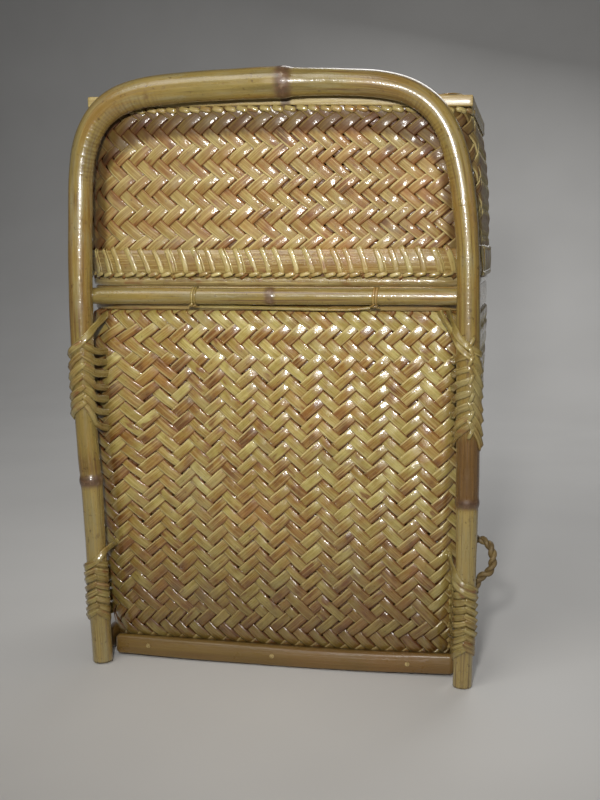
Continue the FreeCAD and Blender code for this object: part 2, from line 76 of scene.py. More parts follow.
def climb(x, z):
    c = np.interp(x, [q[0] for q in CLIMB], [q[1] for q in CLIMB])
    c = (c + np.interp(np.asarray(x) - 14, [q[0] for q in CLIMB], [q[1] for q in CLIMB]) + np.interp(np.asarray(x) + 14, [q[0] for q in CLIMB], [q[1] for q in CLIMB])) / 3
    return c * np.clip((np.asarray(z) - 330.0) / 81.0, 0, 1)


def lean(x, z):
    """The lid's left side draws in a little towards the top."""
    a = np.clip((-np.asarray(x, float) - 60.0) / 80.0, 0, 1)
    b = np.clip((np.asarray(z, float) - 335.0) / 75.0, 0, 1)
    return 5.0 * a * a * (3 - 2 * a) * b * b * (3 - 2 * b)


def M(p):
    """Design millimetres to the row frame in metres."""
    return (p[0] / 1000.0, (p[1] + YS) / 1000.0, p[2] / 1000.0)


# ---------------------------------------------------------------- camera
def camera():
    cam = bpy.data.cameras.new("camera")
    ob = bpy.data.objects.new("camera", cam)
    bpy.context.scene.collection.objects.link(ob)
    az, pitch, roll = math.radians(11.43), math.radians(7.51), math.radians(-0.31)
    back = Vector((math.sin(az) * math.cos(pitch), -math.cos(az) * math.cos(pitch), math.sin(pitch)))
    right = Vector((math.cos(az), math.sin(az), 0))
    up = back.cross(right)
    r2 = right * math.cos(roll) + up * math.sin(roll)
    u2 = up * math.cos(roll) - right * math.sin(roll)
    m = Matrix((r2, u2, back)).transposed().to_4x4()
    m.translation = Vector(M((187.06, -830.4, 317.43)))
    ob.matrix_world = m
    cam.sensor_fit = "AUTO"
    cam.sensor_width = 36.0
    cam.lens = 1150.0 * 36.0 / 800.0
    cam.clip_start = 0.01
    cam.clip_end = 50
    bpy.context.scene.camera = ob


camera()


# ---------------------------------------------------------------- node helpers
def new_mat(name):
    m = bpy.data.materials.new(name)
    m.use_nodes = True
    nt = m.node_tree
    for n in list(nt.nodes):
        nt.nodes.remove(n)
    out = nt.nodes.new("ShaderNodeOutputMaterial")
    b = nt.nodes.new("ShaderNodeBsdfPrincipled")
    nt.links.new(b.outputs[0], out.inputs[0])
    return m, nt, b


def node(nt, kind, **props):
    n = nt.nodes.new(kind)
    for k, v in props.items():
        setattr(n, k, v)
    return n


def put(nt, sock, val):
    if hasattr(val, "is_output"):
        nt.links.new(val, sock)
    elif val is not None:
        sock.default_value = val


def math_n(nt, op, a, b=None, c=None, clamp=False):
    n = node(nt, "ShaderNodeMath", operation=op, use_clamp=clamp)
    put(nt, n.inputs[0], a)
    put(nt, n.inputs[1], b)
    if c is not None:
        put(nt, n.inputs[2], c)
    return n.outputs[0]


def vmul(nt, v, k):
    n = node(nt, "ShaderNodeVectorMath", operation="MULTIPLY")
    put(nt, n.inputs[0], v)
    n.inputs[1].default_value = k
    return n.outputs[0]


def attr(nt, name, what="Fac"):
    n = node(nt, "ShaderNodeAttribute", attribute_type="GEOMETRY", attribute_name=name)
    return n.outputs[what]


def noise(nt, vec, scale, detail=3.0, rough=0.55, dist=0.0):
    n = node(nt, "ShaderNodeTexNoise")
    put(nt, n.inputs["Vector"], vec)
    n.inputs["Scale"].default_value = scale
    n.inputs["Detail"].default_value = detail
    n.inputs["Roughness"].default_value = rough
    n.inputs["Distortion"].default_value = dist
    return n.outputs["Fac"]


def ramp(nt, fac, stops, interp="LINEAR"):
    n = node(nt, "ShaderNodeValToRGB")
    cr = n.color_ramp
    cr.interpolation = interp
    while len(cr.elements) > 1:
        cr.elements.remove(cr.elements[-1])
    cr.elements[0].position = stops[0][0]
    cr.elements[0].color = (*stops[0][1], 1)
    for p, c in stops[1:]:
        e = cr.elements.new(p)
        e.color = (*c, 1)
    put(nt, n.inputs[0], fac)
    return n.outputs[0]


def mapr(nt, v, a, b, c, d, smooth=False):
    n = node(nt, "ShaderNodeMapRange", interpolation_type="SMOOTHSTEP" if smooth else "LINEAR")
    put(nt, n.inputs["Value"], v)
    n.inputs["From Min"].default_value = a
    n.inputs["From Max"].default_value = b
    n.inputs["To Min"].default_value = c
    n.inputs["To Max"].default_value = d
    return n.outputs[0]


def mix(nt, fac, a, b, blend="MIX"):
    n = node(nt, "ShaderNodeMix", data_type="RGBA", blend_type=blend)
    n.clamp_factor = True
    put(nt, n.inputs[0], fac)
    if isinstance(a, tuple):
        a = (*a, 1)
    if isinstance(b, tuple):
        b = (*b, 1)
    put(nt, n.inputs[6], a)
    put(nt, n.inputs[7], b)
    return n.outputs[2]


def bump(nt, height, strength, dist, normal=None):
    n = node(nt, "ShaderNodeBump")
    n.inputs["Strength"].default_value = strength
    n.inputs["Distance"].default_value = dist
    put(nt, n.inputs["Height"], height)
    if normal is not None:
        put(nt, n.inputs["Normal"], normal)
    return n.outputs[0]


def objco(nt):
    return node(nt, "ShaderNodeTexCoord").outputs["Object"]


# dark is the colour of the painted shade where strips dive under their neighbours, along their edges and on their
# undersides
def cane_strip_material(name, stops, dark=(0.085, 0.030, 0.010), coat=0.85, rough=(0.20, 0.42), patch=0.062, tone_k=0.42,
                        lift=True, red=0.0, edges=True, with_painted_shade=False, coat_rough=0.10):
    """Varnished split cane. suv holds mm along the strip, mm across it and the strip's number; wrk runs -1..1 across it."""
    m, nt, b = new_mat(name)
    suv = attr(nt, "suv", "Vector")
    tone = attr(nt, "tone")
    n1 = noise(nt, vmul(nt, suv, (patch, 0.05, 7.31)), 1.0, 3.0, 0.55)
    n1 = mapr(nt, n1, 0.27, 0.73, 0.0, 1.0)
    f = math_n(nt, "ADD", math_n(nt, "MULTIPLY", tone, tone_k), math_n(nt, "MULTIPLY", n1, 1.0 - tone_k), clamp=True)
    f = mapr(nt, f, 0.16, 0.84, 0.0, 1.0)
    col = ramp(nt, f, stops)
    # rare reddish brown stains, as on the inner side of a split
    n2 = noise(nt, vmul(nt, suv, (0.060, 0.12, 3.17)), 1.0, 2.0, 0.5)
    st = mapr(nt, n2, 0.60 - red, 0.70 - red, 0.0, 0.85, True)
    col = mix(nt, st, col, (0.155, 0.050, 0.012))
    # fibres running along the strip
    fib = noise(nt, vmul(nt, suv, (0.035, 2.6, 5.1)), 1.0, 4.0, 0.7)
    col = mix(nt, mapr(nt, fib, 0.30, 0.72, 0.55, 0.0), col, (0.13, 0.062, 0.016))
    fib2 = noise(nt, vmul(nt, suv, (0.02, 0.9, 9.7)), 1.0, 3.0, 0.6)
    col = mix(nt, mapr(nt, fib2, 0.47, 0.70, 0.0, 0.40), col, (0.60, 0.48, 0.20))
    # varnish gathered in blotches, greyer where it is thin
    big = noise(nt, objco(nt), 26.0, 3.0, 0.55)
    col = mix(nt, mapr(nt, big, 0.50, 0.72, 0.0, 0.34, True), col, (0.27, 0.24, 0.115))
    big2 = noise(nt, objco(nt), 17.0, 3.0, 0.6)
    col = mix(nt, mapr(nt, big2, 0.52, 0.70, 0.0, 0.38, True), col, (0.30, 0.125, 0.030))
    # specks
    sp = noise(nt, objco(nt), 520.0, 2.0, 0.5)
    col = mix(nt, mapr(nt, sp, 0.66, 0.75, 0.0, 0.6), col, (0.085, 0.04, 0.015))
    # painted highlight along one edge of each strip and painted shade along the other, set by wrk
    if edges:
        e = attr(nt, "wrk")
        wob = math_n(nt, "MULTIPLY", math_n(nt, "SUBTRACT", fib, 0.5), 0.9)
        ee = math_n(nt, "ADD", e, wob)
        col = mix(nt, mapr(nt, ee, 0.62, 0.86, 0.0, 0.62, True), col, (0.62, 0.52, 0.23))
        col = mix(nt, mapr(nt, ee, -0.58, -0.92, 0.0, 0.88, True), col, (0.17, 0.062, 0.015))
    # painted shade: the knot attribute carries the painted shadow of the bent cane and the painted shade towards the
    # foot
    if with_painted_shade:
        kn = attr(nt, "knot")
        col = mix(nt, mapr(nt, kn, 0.0, 1.0, 0.0, 0.90), col, (0.33, 0.25, 0.15), "MULTIPLY")
    # painted shade: lift darkens strips where they dive under their neighbours, along their edges and on their
    # undersides
    if lift:
        lf = attr(nt, "lift")
        col = mix(nt, mapr(nt, lf, -1.0, 0.42, 0.86, 0.0, True), col, dark)
    nt.links.new(col, b.inputs["Base Color"])
    rg = noise(nt, vmul(nt, suv, (0.12, 0.5, 2.3)), 1.0, 3.0, 0.6)
    nt.links.new(mapr(nt, rg, 0.3, 0.7, rough[0], rough[1]), b.inputs["Roughness"])
    b.inputs["Coat Weight"].default_value = coat
    b.inputs["Coat Roughness"].default_value = coat_rough
    b.inputs["Specular IOR Level"].default_value = 0.38
    b.inputs["IOR"].default_value = 1.48
    nb = bump(nt, fib, 0.6, 0.00030)
    nb = bump(nt, noise(nt, objco(nt), 190.0, 3.0, 0.6), 0.35, 0.0006, nb)
    nt.links.new(nb, b.inputs["Normal"])
    nt.links.new(bump(nt, noise(nt, objco(nt), 170.0, 3.0, 0.6), 0.55, 0.0009), b.inputs["Coat Normal"])
    return m


STRAW = [(0.0, (0.50, 0.440, 0.155)), (0.18, (0.415, 0.350, 0.100)), (0.38, (0.325, 0.254, 0.062)), (0.56, (0.288, 0.198, 0.043)),
         (0.72, (0.262, 0.145, 0.028)), (0.87, (0.186, 0.082, 0.016)), (1.0, (0.108, 0.039, 0.009))]
LIDTONE = [(0.0, (0.320, 0.250, 0.072)), (0.20, (0.275, 0.198, 0.050)), (0.42, (0.245, 0.154, 0.036)), (0.60, (0.232, 0.127, 0.029)),
           (0.76, (0.215, 0.094, 0.018)), (0.90, (0.140, 0.053, 0.010)), (1.0, (0.080, 0.029, 0.008))]
PALE = [(0.0, (0.43, 0.365, 0.140)), (0.35, (0.355, 0.285, 0.095)), (0.7, (0.28, 0.20, 0.056)), (1.0, (0.19, 0.115, 0.028))]
LASH = [(0.0, (0.31, 0.255, 0.078)), (0.35, (0.245, 0.190, 0.050)), (0.7, (0.190, 0.130, 0.030)), (1.0, (0.125, 0.068, 0.015))]
TAN = [(0.0, (0.255, 0.178, 0.046)), (0.5, (0.215, 0.130, 0.030)), (1.0, (0.140, 0.070, 0.015))]
OLIVE = [(0.0, (0.27, 0.220, 0.090)), (0.5, (0.225, 0.170, 0.062)), (1.0, (0.14, 0.090, 0.030))]

# both woven walls take the painted shadow and painted shade carried in knot
mat_body = cane_strip_material("woven_cane_body", STRAW, with_painted_shade=True, coat=1.0, coat_rough=0.15)
mat_lid = cane_strip_material("woven_cane_lid", LIDTONE, with_painted_shade=True, coat=0.27, rough=(0.42, 0.60), coat_rough=0.15)
mat_pale = cane_strip_material("split_cane_pale", PALE, dark=(0.10, 0.045, 0.014), edges=False)
mat_lash = cane_strip_material("split_cane_lashing", LASH, dark=(0.060, 0.030, 0.010), edges=False, coat=0.6, patch=0.09)
mat_tan = cane_strip_material("split_cane_tan", TAN, tone_k=0.3, lift=False, edges=False)
mat_olive = cane_strip_material("split_cane_olive", OLIVE, tone_k=0.3, lift=False, coat=1.0, rough=(0.14, 0.30), edges=False)


def whole_cane_material(name):
    """Whole rattan: suv is mm along, mm round; knot marks the leaf scars; wrk the creases of a bend; lift how brown it is."""
    m, nt, b = new_mat(name)
    suv = attr(nt, "suv", "Vector")
    knot = attr(nt, "knot")
    low = attr(nt, "tone")
    brown = attr(nt, "lift")
    n1 = noise(nt, vmul(nt, suv, (0.013, 0.10, 1.0)), 1.0, 4.0, 0.6)
    col = ramp(nt, mapr(nt, n1, 0.28, 0.72, 0.0, 1.0), [
        (0.0, (0.150, 0.115, 0.030)), (0.25, (0.225, 0.170, 0.044)), (0.5, (0.275, 0.195, 0.046)), (0.75, (0.248, 0.150, 0.030)), (1.0, (0.165, 0.086, 0.016))])
    col = mix(nt, mapr(nt, low, 0.0, 1.0, 0.0, 0.72), col, (0.37, 0.280, 0.092))
    fib = noise(nt, vmul(nt, suv, (0.016, 0.95, 1.0)), 1.0, 4.0, 0.7)
    col = mix(nt, mapr(nt, fib, 0.30, 0.70, 0.50, 0.0), col, (0.12, 0.070, 0.022))
    st = noise(nt, vmul(nt, suv, (0.012, 0.40, 4.0)), 1.0, 3.0, 0.65)
    col = mix(nt, mapr(nt, st, 0.56, 0.68, 0.0, 0.68, True), col, (0.095, 0.048, 0.015))
    gr = noise(nt, vmul(nt, suv, (0.02, 0.13, 9.0)), 1.0, 3.0, 0.6)
    col = mix(nt, mapr(nt, gr, 0.46, 0.70, 0.0, 0.48, True), col, (0.235, 0.215, 0.125))
    bk = math_n(nt, "ADD", brown, math_n(nt, "MULTIPLY", math_n(nt, "SUBTRACT", st, 0.5), 1.3))
    bk = math_n(nt, "MULTIPLY", mapr(nt, bk, 0.12, 0.75, 0.0, 0.86), mapr(nt, brown, 0.0, 0.12, 0.0, 1.0))
    col = mix(nt, bk, col, ramp(nt, fib, [(0.35, (0.050, 0.020, 0.006)), (0.6, (0.135, 0.062, 0.016)), (0.75, (0.21, 0.115, 0.034))]))
    sp = noise(nt, objco(nt), 330.0, 3.0, 0.6)
    col = mix(nt, mapr(nt, sp, 0.62, 0.72, 0.0, 0.7), col, (0.065, 0.032, 0.012))
    sp2 = noise(nt, objco(nt), 85.0, 3.0, 0.6)
    col = mix(nt, mapr(nt, sp2, 0.64, 0.72, 0.0, 0.5), col, (0.11, 0.058, 0.020))
    kn = noise(nt, vmul(nt, suv, (0.35, 0.26, 2.0)), 1.0, 3.0, 0.7)
    kk = math_n(nt, "MULTIPLY", knot, mapr(nt, kn, 0.20, 0.55, 0.55, 1.15), clamp=True)
    col = mix(nt, kk, col, ramp(nt, kn, [(0.30, (0.035, 0.016, 0.008)), (0.52, (0.105, 0.052, 0.022)), (0.70, (0.17, 0.115, 0.062))]))
    # painted shade in the crease troughs on the inside of each bend
    cr = attr(nt, "wrk")
    col = mix(nt, mapr(nt, cr, 0.0, 1.0, 0.0, 0.55), col, (0.10, 0.050, 0.014))
    nt.links.new(col, b.inputs["Base Color"])
    rg = noise(nt, vmul(nt, suv, (0.05, 0.3, 6.0)), 1.0, 4.0, 0.65)
    r = mapr(nt, rg, 0.3, 0.7, 0.18, 0.42)
    r = math_n(nt, "ADD", r, math_n(nt, "MULTIPLY", kk, 0.15), clamp=True)
    nt.links.new(r, b.inputs["Roughness"])
    b.inputs["Coat Weight"].default_value = 0.75
    b.inputs["Coat Roughness"].default_value = 0.13
    b.inputs["IOR"].default_value = 1.50
    nb = bump(nt, fib, 0.5, 0.0003)
    nb = bump(nt, noise(nt, objco(nt), 150.0, 4.0, 0.6), 0.35, 0.0005, nb)
    nt.links.new(nb, b.inputs["Normal"])
    nt.links.new(bump(nt, noise(nt, vmul(nt, suv, (0.5, 0.12, 3.0)), 1.0, 3.0, 0.6), 0.5, 0.0005), b.inputs["Coat Normal"])
    return m


mat_cane = whole_cane_material("whole_cane")


def slat_material(name, axis, stops):
    """Flat split bamboo with grain along one axis of the row frame."""
    m, nt, b = new_mat(name)
    co = objco(nt)
    k = [60.0, 60.0, 60.0]
    k["XYZ".index(axis)] = 2.2
    g = noise(nt, vmul(nt, co, tuple(k)), 1.0, 4.0, 0.6)
    k2 = [900.0, 900.0, 900.0]
    k2["XYZ".index(axis)] = 9.0
    f = noise(nt, vmul(nt, co, tuple(k2)), 1.0, 4.0, 0.7)
    col = ramp(nt, mapr(nt, g, 0.28, 0.72, 0.0, 1.0), stops)
    col = mix(nt, mapr(nt, f, 0.30, 0.72, 0.55, 0.0), col, (0.13, 0.058, 0.015))
    big = noise(nt, co, 14.0, 3.0, 0.5)
    col = mix(nt, mapr(nt, big, 0.45, 0.70, 0.0, 0.55), col, (0.20, 0.095, 0.024))
    kn = attr(nt, "knot")
    col = mix(nt, mapr(nt, kn, 0.0, 1.0, 0.0, 0.85), col, (0.085, 0.048, 0.030))
    ed = noise(nt, co, 420.0, 3.0, 0.5)
    col = mix(nt, mapr(nt, ed, 0.66, 0.76, 0.0, 0.5), col, (0.12, 0.06, 0.02))
    nt.links.new(col, b.inputs["Base Color"])
    nt.links.new(mapr(nt, noise(nt, co, 60.0, 4.0, 0.6), 0.3, 0.7, 0.25, 0.50), b.inputs["Roughness"])
    b.inputs["Coat Weight"].default_value = 0.35
    b.inputs["Coat Roughness"].default_value = 0.22
    nb = bump(nt, f, 0.8, 0.0005)
    nt.links.new(nb, b.inputs["Normal"])
    return m


# SLATC is far darker than STRIPC: partly the base slats' own brown and partly painted shade at the foot of the basket
SLATC = [(0.0, (0.082, 0.045, 0.008)), (0.35, (0.125, 0.075, 0.013)), (0.7, (0.175, 0.110, 0.021)), (1.0, (0.105, 0.060, 0.011))]
STRIPC = [(0.0, (0.33, 0.250, 0.085)), (0.35, (0.41, 0.325, 0.120)), (0.7, (0.44, 0.35, 0.135)), (1.0, (0.29, 0.20, 0.062))]
mat_slat_x = slat_material("bamboo_slat_x", "X", SLATC)
mat_slat_y = slat_material("bamboo_slat_y", "Y", SLATC)
mat_strip_x = slat_material("top_strip_x", "X", STRIPC)
mat_strip_y = slat_material("top_strip_y", "Y", STRIPC)


def nail_material():
    m, nt, b = new_mat("nail")
    n = noise(nt, objco(nt), 900.0, 3.0, 0.6)
    col = ramp(nt, n, [(0.3, (0.24, 0.16, 0.06)), (0.6, (0.62, 0.48, 0.22)), (0.8, (0.75, 0.62, 0.34))])
    nt.links.new(col, b.inputs["Base Color"])
    b.inputs["Metallic"].default_value = 0.85
    nt.links.new(mapr(nt, n, 0.3, 0.7, 0.28, 0.55), b.inputs["Roughness"])
    nt.links.new(bump(nt, n, 0.3, 0.0002), b.inputs["Normal"])
    return m


mat_nail = nail_material()


def rope_material():
    m, nt, b = new_mat("twisted_cord")
    suv = attr(nt, "suv", "Vector")
    f = noise(nt, vmul(nt, suv, (0.25, 5.0, 3.0)), 1.0, 4.0, 0.7)
    g = noise(nt, objco(nt), 160.0, 3.0, 0.6)
    col = ramp(nt, math_n(nt, "ADD", math_n(nt, "MULTIPLY", f, 0.6), math_n(nt, "MULTIPLY", g, 0.4)), [
        (0.30, (0.060, 0.036, 0.012)), (0.5, (0.150, 0.098, 0.032)), (0.68, (0.255, 0.180, 0.066))])
    # painted shade between the plies: lift is low on each ply's side facing the other
    lf = attr(nt, "lift")
    col = mix(nt, mapr(nt, lf, -1.0, 0.4, 0.8, 0.0, True), col, (0.06, 0.03, 0.012))
    nt.links.new(col, b.inputs["Base Color"])
    nt.links.new(mapr(nt, f, 0.3, 0.7, 0.45, 0.75), b.inputs["Roughness"])
    b.inputs["Coat Weight"].default_value = 0.15
    b.inputs["Coat Roughness"].default_value = 0.3
    nt.links.new(bump(nt, f, 0.7, 0.0004), b.inputs["Normal"])
    return m


mat_rope = rope_material()


# ---------------------------------------------------------------- mesh helpers
class Build:
    """Collects vertices in design mm with suv, tone, lift, knot and wrk per vertex."""

    def __init__(self):
        self.v, self.f, self.a = [], [], {"suv": [], "tone": [], "lift": [], "knot": [], "wrk": []}
        self.n = 0

    def grid(self, P, suv, tone=0.5, lift=1.0, knot=0.0, wrk=0.0, closed_u=False, caps=False):
        """P is (rings, around, 3). closed_u joins the last column to the first; caps closes both ends with a fan of one n-gon."""
        R, C = P.shape[:2]
        base = self.n
        self.v.append(P.reshape(-1, 3))
        one = np.ones((R, C))
        self.a["suv"].append(suv.reshape(-1, 3))
        for k, val in (("tone", tone), ("lift", lift), ("knot", knot), ("wrk", wrk)):
            self.a[k].append((one * val).reshape(-1))
        self.n += R * C
        idx = base + np.arange(R * C).reshape(R, C)
        if closed_u:
            nx = np.roll(idx, -1, axis=1)
            a, b, c, d = idx[:-1], nx[:-1], nx[1:], idx[1:]
        else:
            a, b, c, d = idx[:-1, :-1], idx[:-1, 1:], idx[1:, 1:], idx[1:, :-1]
        self.f.append(np.stack([a, b, c, d], -1).reshape(-1, 4))
        if caps:
            self.caps = getattr(self, "caps", [])
            self.caps.append(list(map(int, idx[0][::-1])))
            self.caps.append(list(map(int, idx[-1])))

    def obj(self, name, mat, body, nodes=(), smooth=True, flip=False):
        V = np.concatenate(self.v)
        V = np.stack([V[:, 0], V[:, 1] + YS, V[:, 2]], -1) / 1000.0
        faces = np.concatenate(self.f)
        if flip:
            faces = faces[:, ::-1]
        faces = [tuple(map(int, q)) for q in faces] if len(faces) < 1 else faces.tolist()
        caps = getattr(self, "caps", [])
        if flip:
            caps = [c[::-1] for c in caps]
        me = bpy.data.meshes.new(name)
        me.from_pydata(V.tolist(), [], faces + caps)
        me.validate(verbose=False)
        for k in ("tone", "lift", "knot", "wrk"):
            at = me.attributes.new(k, "FLOAT", "POINT")
            at.data.foreach_set("value", np.concatenate(self.a[k]).astype(np.float32))
        at = me.attributes.new("suv", "FLOAT_VECTOR", "POINT")
        at.data.foreach_set("vector", np.concatenate(self.a["suv"]).astype(np.float32).reshape(-1))
        if smooth:
            me.polygons.foreach_set("use_smooth", [True] * len(me.polygons))
        me.materials.append(mat)
        ob = bpy.data.objects.new(name, me)
        bpy.context.scene.collection.objects.link(ob)
        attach(ob, body)
        if nodes:
            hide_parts(*nodes)
        return ob


def smooth01(t):
    return t * t * (3 - 2 * t)


def sec_arrays(secs):
    a = np.array(secs, float)
    return a[:, 0], a[:, 1], a[:, 2], a[:, 3], a[:, 4]


def rr(secs, f, z, off=0.0):
    """Points on the rounded rectangle wall. f is the share of the perimeter, 0 at the middle of the front, rising to +X."""
    Z, Wd, F, B, R = sec_arrays(secs)
    w = np.interp(z, Z, Wd) + off
    yf = np.interp(z, Z, F) - off
    yb = np.interp(z, Z, B) + off
    r = np.maximum(np.interp(z, Z, R) + off, 1.0)
    lx, ly, q = 2 * (w - r), (yb - yf) - 2 * r, np.pi * r / 2
    tot = 2 * lx + 2 * ly + 4 * q
    s = np.mod(f, 1.0) * tot
    x = np.zeros_like(s); y = np.zeros_like(s)
    e = [lx / 2, lx / 2 + q, lx / 2 + q + ly, lx / 2 + 2 * q + ly, 1.5 * lx + 2 * q + ly, 1.5 * lx + 3 * q + ly, 1.5 * lx + 3 * q + 2 * ly,
         1.5 * lx + 4 * q + 2 * ly]
    c = s < e[0]
    x = np.where(c, s, x); y = np.where(c, yf, y)
    c = (s >= e[0]) & (s < e[1]); a = (s - e[0]) / r - np.pi / 2
    x = np.where(c, w - r + r * np.cos(a), x); y = np.where(c, yf + r + r * np.sin(a), y)
    c = (s >= e[1]) & (s < e[2])
    x = np.where(c, w, x); y = np.where(c, yf + r + s - e[1], y)
    c = (s >= e[2]) & (s < e[3]); a = (s - e[2]) / r
    x = np.where(c, w - r + r * np.cos(a), x); y = np.where(c, yb - r + r * np.sin(a), y)
    c = (s >= e[3]) & (s < e[4])
    x = np.where(c, w - r - (s - e[3]), x); y = np.where(c, yb, y)
    c = (s >= e[4]) & (s < e[5]); a = (s - e[4]) / r + np.pi / 2
    x = np.where(c, -w + r + r * np.cos(a), x); y = np.where(c, yb - r + r * np.sin(a), y)
    c = (s >= e[5]) & (s < e[6])
    x = np.where(c, -w, x); y = np.where(c, yb - r - (s - e[5]), y)
    c = (s >= e[6]) & (s < e[7]); a = (s - e[6]) / r + np.pi
    x = np.where(c, -w + r + r * np.cos(a), x); y = np.where(c, yf + r + r * np.sin(a), y)
    c = s >= e[7]
    x = np.where(c, -w + r + (s - e[7]), x); y = np.where(c, yf, y)
    zz = z + 0 * x
    if secs is BODY:
        near = 1 - smooth01(np.clip((y - 20.0) / 110.0, 0, 1))
        out = 4.0 * smooth01(np.clip((zz - 14.0) / 50.0, 0, 1)) + 4.2 * near * smooth01(np.clip((zz - 108.0) / 60.0, 0, 1))
        x = x - out * smooth01(np.clip((-x - 70.0) / 70.0, 0, 1)) * smooth01(np.clip((268.0 - zz) / 24.0, 0, 1))
    if secs is LID:
        x, zz = x + lean(x, zz), zz + climb(x, zz)
    return np.stack([x, y, zz], -1)


def perimeter(secs, z):
    Z, Wd, F, B, R = sec_arrays(secs)
    w, yf, yb, r = (float(np.interp(z, Z, q)) for q in (Wd, F, B, R))
    return 4 * (w - r) + 2 * (yb - yf - 2 * r) + 2 * np.pi * r


def wall(secs, f, z, off):
    """Points at off mm outside the wall, along its true normal."""
    z = np.asarray(z, float); f = np.asarray(f, float)
    P = rr(secs, f, z)
    df, dz = 0.0012, 1.5
    Tf = rr(secs, f + df, z) - rr(secs, f - df, z)
    Tz = rr(secs, f, z + dz) - rr(secs, f, z - dz)
    n = np.cross(Tf, Tz)
    n /= np.maximum(np.linalg.norm(n, axis=-1, keepdims=True), 1e-9)
    return P + n * np.asarray(off)[..., None]


def painted_shade_depth(secs, P):
    """How much painted shade darkens the varnish: a painted shadow of the bent cane on the front wall beside it, and
    painted shade deepening towards the foot of the basket.
    """
    x, y, z = P[..., 0], P[..., 1], P[..., 2]
    d = np.full(x.shape, 1e9)
    for (x0, z0, _), (x1, z1, _) in zip(FRAME[:-1], FRAME[1:]):
        t = np.clip(((x - x0) * (x1 - x0) + (z - z0) * (z1 - z0)) / ((x1 - x0) ** 2 + (z1 - z0) ** 2), 0, 1)
        d = np.minimum(d, np.hypot(x - x0 - t * (x1 - x0), z - z0 - t * (z1 - z0)))
    front = np.clip((14.0 - y) / 10.0, 0, 1)
    # painted shadow of the arch on the lid's top rows, following the cane's line
    if secs is LID:
        edge = 15.0 + 22.0 * smooth01(np.clip((z - 372.0) / 38.0, 0, 1))
        return front * (1 - smooth01(np.clip((d - edge + 3.0) / 5.0, 0, 1))) * 0.95
    # painted shade growing towards the foot, and a painted shadow of the legs on the front wall beside them
    foot = smooth01(np.clip((130.0 - z) / 120.0, 0, 1)) * 0.80
    side = front * (1 - smooth01(np.clip((d - 12.0) / 8.0, 0, 1))) * 0.55
    return np.maximum(foot, side)


def weave(name, secs, z0, z1, N, Lz, bands, mat, body, nodes, wide=0.995, amp=0.80, mid=-1.62, thick=0.95, crown=0.50, seg=3):
    """2/2 twill of two slanting families of strips. bands(w) says where the floats lie in rows; elsewhere they lie in columns."""
    zr = z0
    w0, w1 = 0.0, (z1 - z0) / Lz
    Lx = perimeter(secs, (z0 + z1) / 2) / N
    nrm = math.hypot(Lx, Lz)
    pitch = Lx * Lz / nrm
    across = np.array([-1.0, -0.70, 0.0, 0.70, 1.0, 0.90, -0.90])
    top = np.array([0.0, 0.64, 1.0, 0.64, 0.0, 0.0, 0.0])
    under = np.array([0, 0, 0, 0, 0, -1.0, -1.0])
    steps = int(round((w1 - w0) * 2 * seg)) + 1
    w = np.linspace(w0, w1, steps)

    def over(i, j):
        ww = (j - i) / 2.0
        a = np.mod(j - i, 4)
        b = np.mod(i + j, 4)
        rows = bands(zr + ww * Lz)
        k = np.where(rows, (a < 1.5), (b < 1.5))
        return np.where(k, 1.0, -1.0)

    out = []
    for fam in (0, 1):
        B = Build()
        for i in range(N):
            t = 2 * w + i if fam == 0 else i - 2 * w
            lo = np.floor(t + 1e-6); fr = np.clip(t - lo, 0, 1)
            if fam == 0:
                va, vb = over(i, lo), over(i, lo + 1)
            else:
                va, vb = -over(lo, i), -over(lo + 1, i)
            h = va + (vb - va) * smooth01(fr)
            h = h + np.where(va == vb, va * 0.62 * np.sin(np.pi * fr), 0.0)
            wf = (0.93 if fam == 0 else 1.02) * (1 + 0.06 * rng.standard_normal()) * (0.80 if rng.uniform() < 0.10 else 1.0)
            wid = pitch * 0.5 * wide * wf * (1 + 0.06 * np.sin(w * 0.9 + rng.uniform(0, 6)))
            wid = np.minimum(wid, pitch * 0.4995)
            lat = 0.28 * np.sin(w * rng.uniform(0.5, 1.3) + rng.uniform(0, 6)) + 0.16 * np.sin(w * 3.1 + rng.uniform(0, 6))
            tilt = 0.10 * rng.standard_normal() + 0.14 * np.sin(w * rng.uniform(0.6, 1.6) + rng.uniform(0, 6))
            cr = crown * (1 + 0.25 * rng.standard_normal())
            sgn = 1.0 if fam == 0 else -1.0
            u = (i + w) if fam == 0 else (i - w)
            A = across[None, :] * wid[:, None] + lat[:, None]
            f = (u[:, None] * Lx + A * Lz / nrm) / (Lx * N)
            z = zr + w[:, None] * Lz - sgn * A * Lx / nrm
            off = mid + amp * h[:, None] + cr * top[None, :] + thick * 0.5 * (1 + 2 * under[None, :]) * 1.0 + tilt[:, None] * across[None, :] * 0.6
            P = wall(secs, f, z, off)
            along = w[:, None] * nrm + 0 * A
            suv = np.stack([along + i * 211.0, A, np.full_like(A, i * 1.7 + fam * 400.0)], -1)
            # the rising family leans browner: partly the cane's own colour and partly painted shade on its shadow side
            tone = np.clip(rng.beta(1.2, 1.6) + (0.12 if fam == 0 else -0.06), 0, 1)
            # lift falls where the strip dives under and at its edges, for the painted shade in the material
            edge = 1 - np.abs(across)[None, :] ** 3 * 0.16
            lift = np.clip(h[:, None] * 1.0, -1, 1) * edge - (1 - edge)
            # knot carries the painted shadow and painted shade from painted_shade_depth
            B.grid(P, suv, tone=tone, lift=lift, knot=painted_shade_depth(secs, P), wrk=-across[None, :] * np.ones_like(lift), closed_u=True, caps=True)
        ob = B.obj(name + ("_rising", "_falling")[fam], mat, body, nodes)
        out.append(ob)
    return out


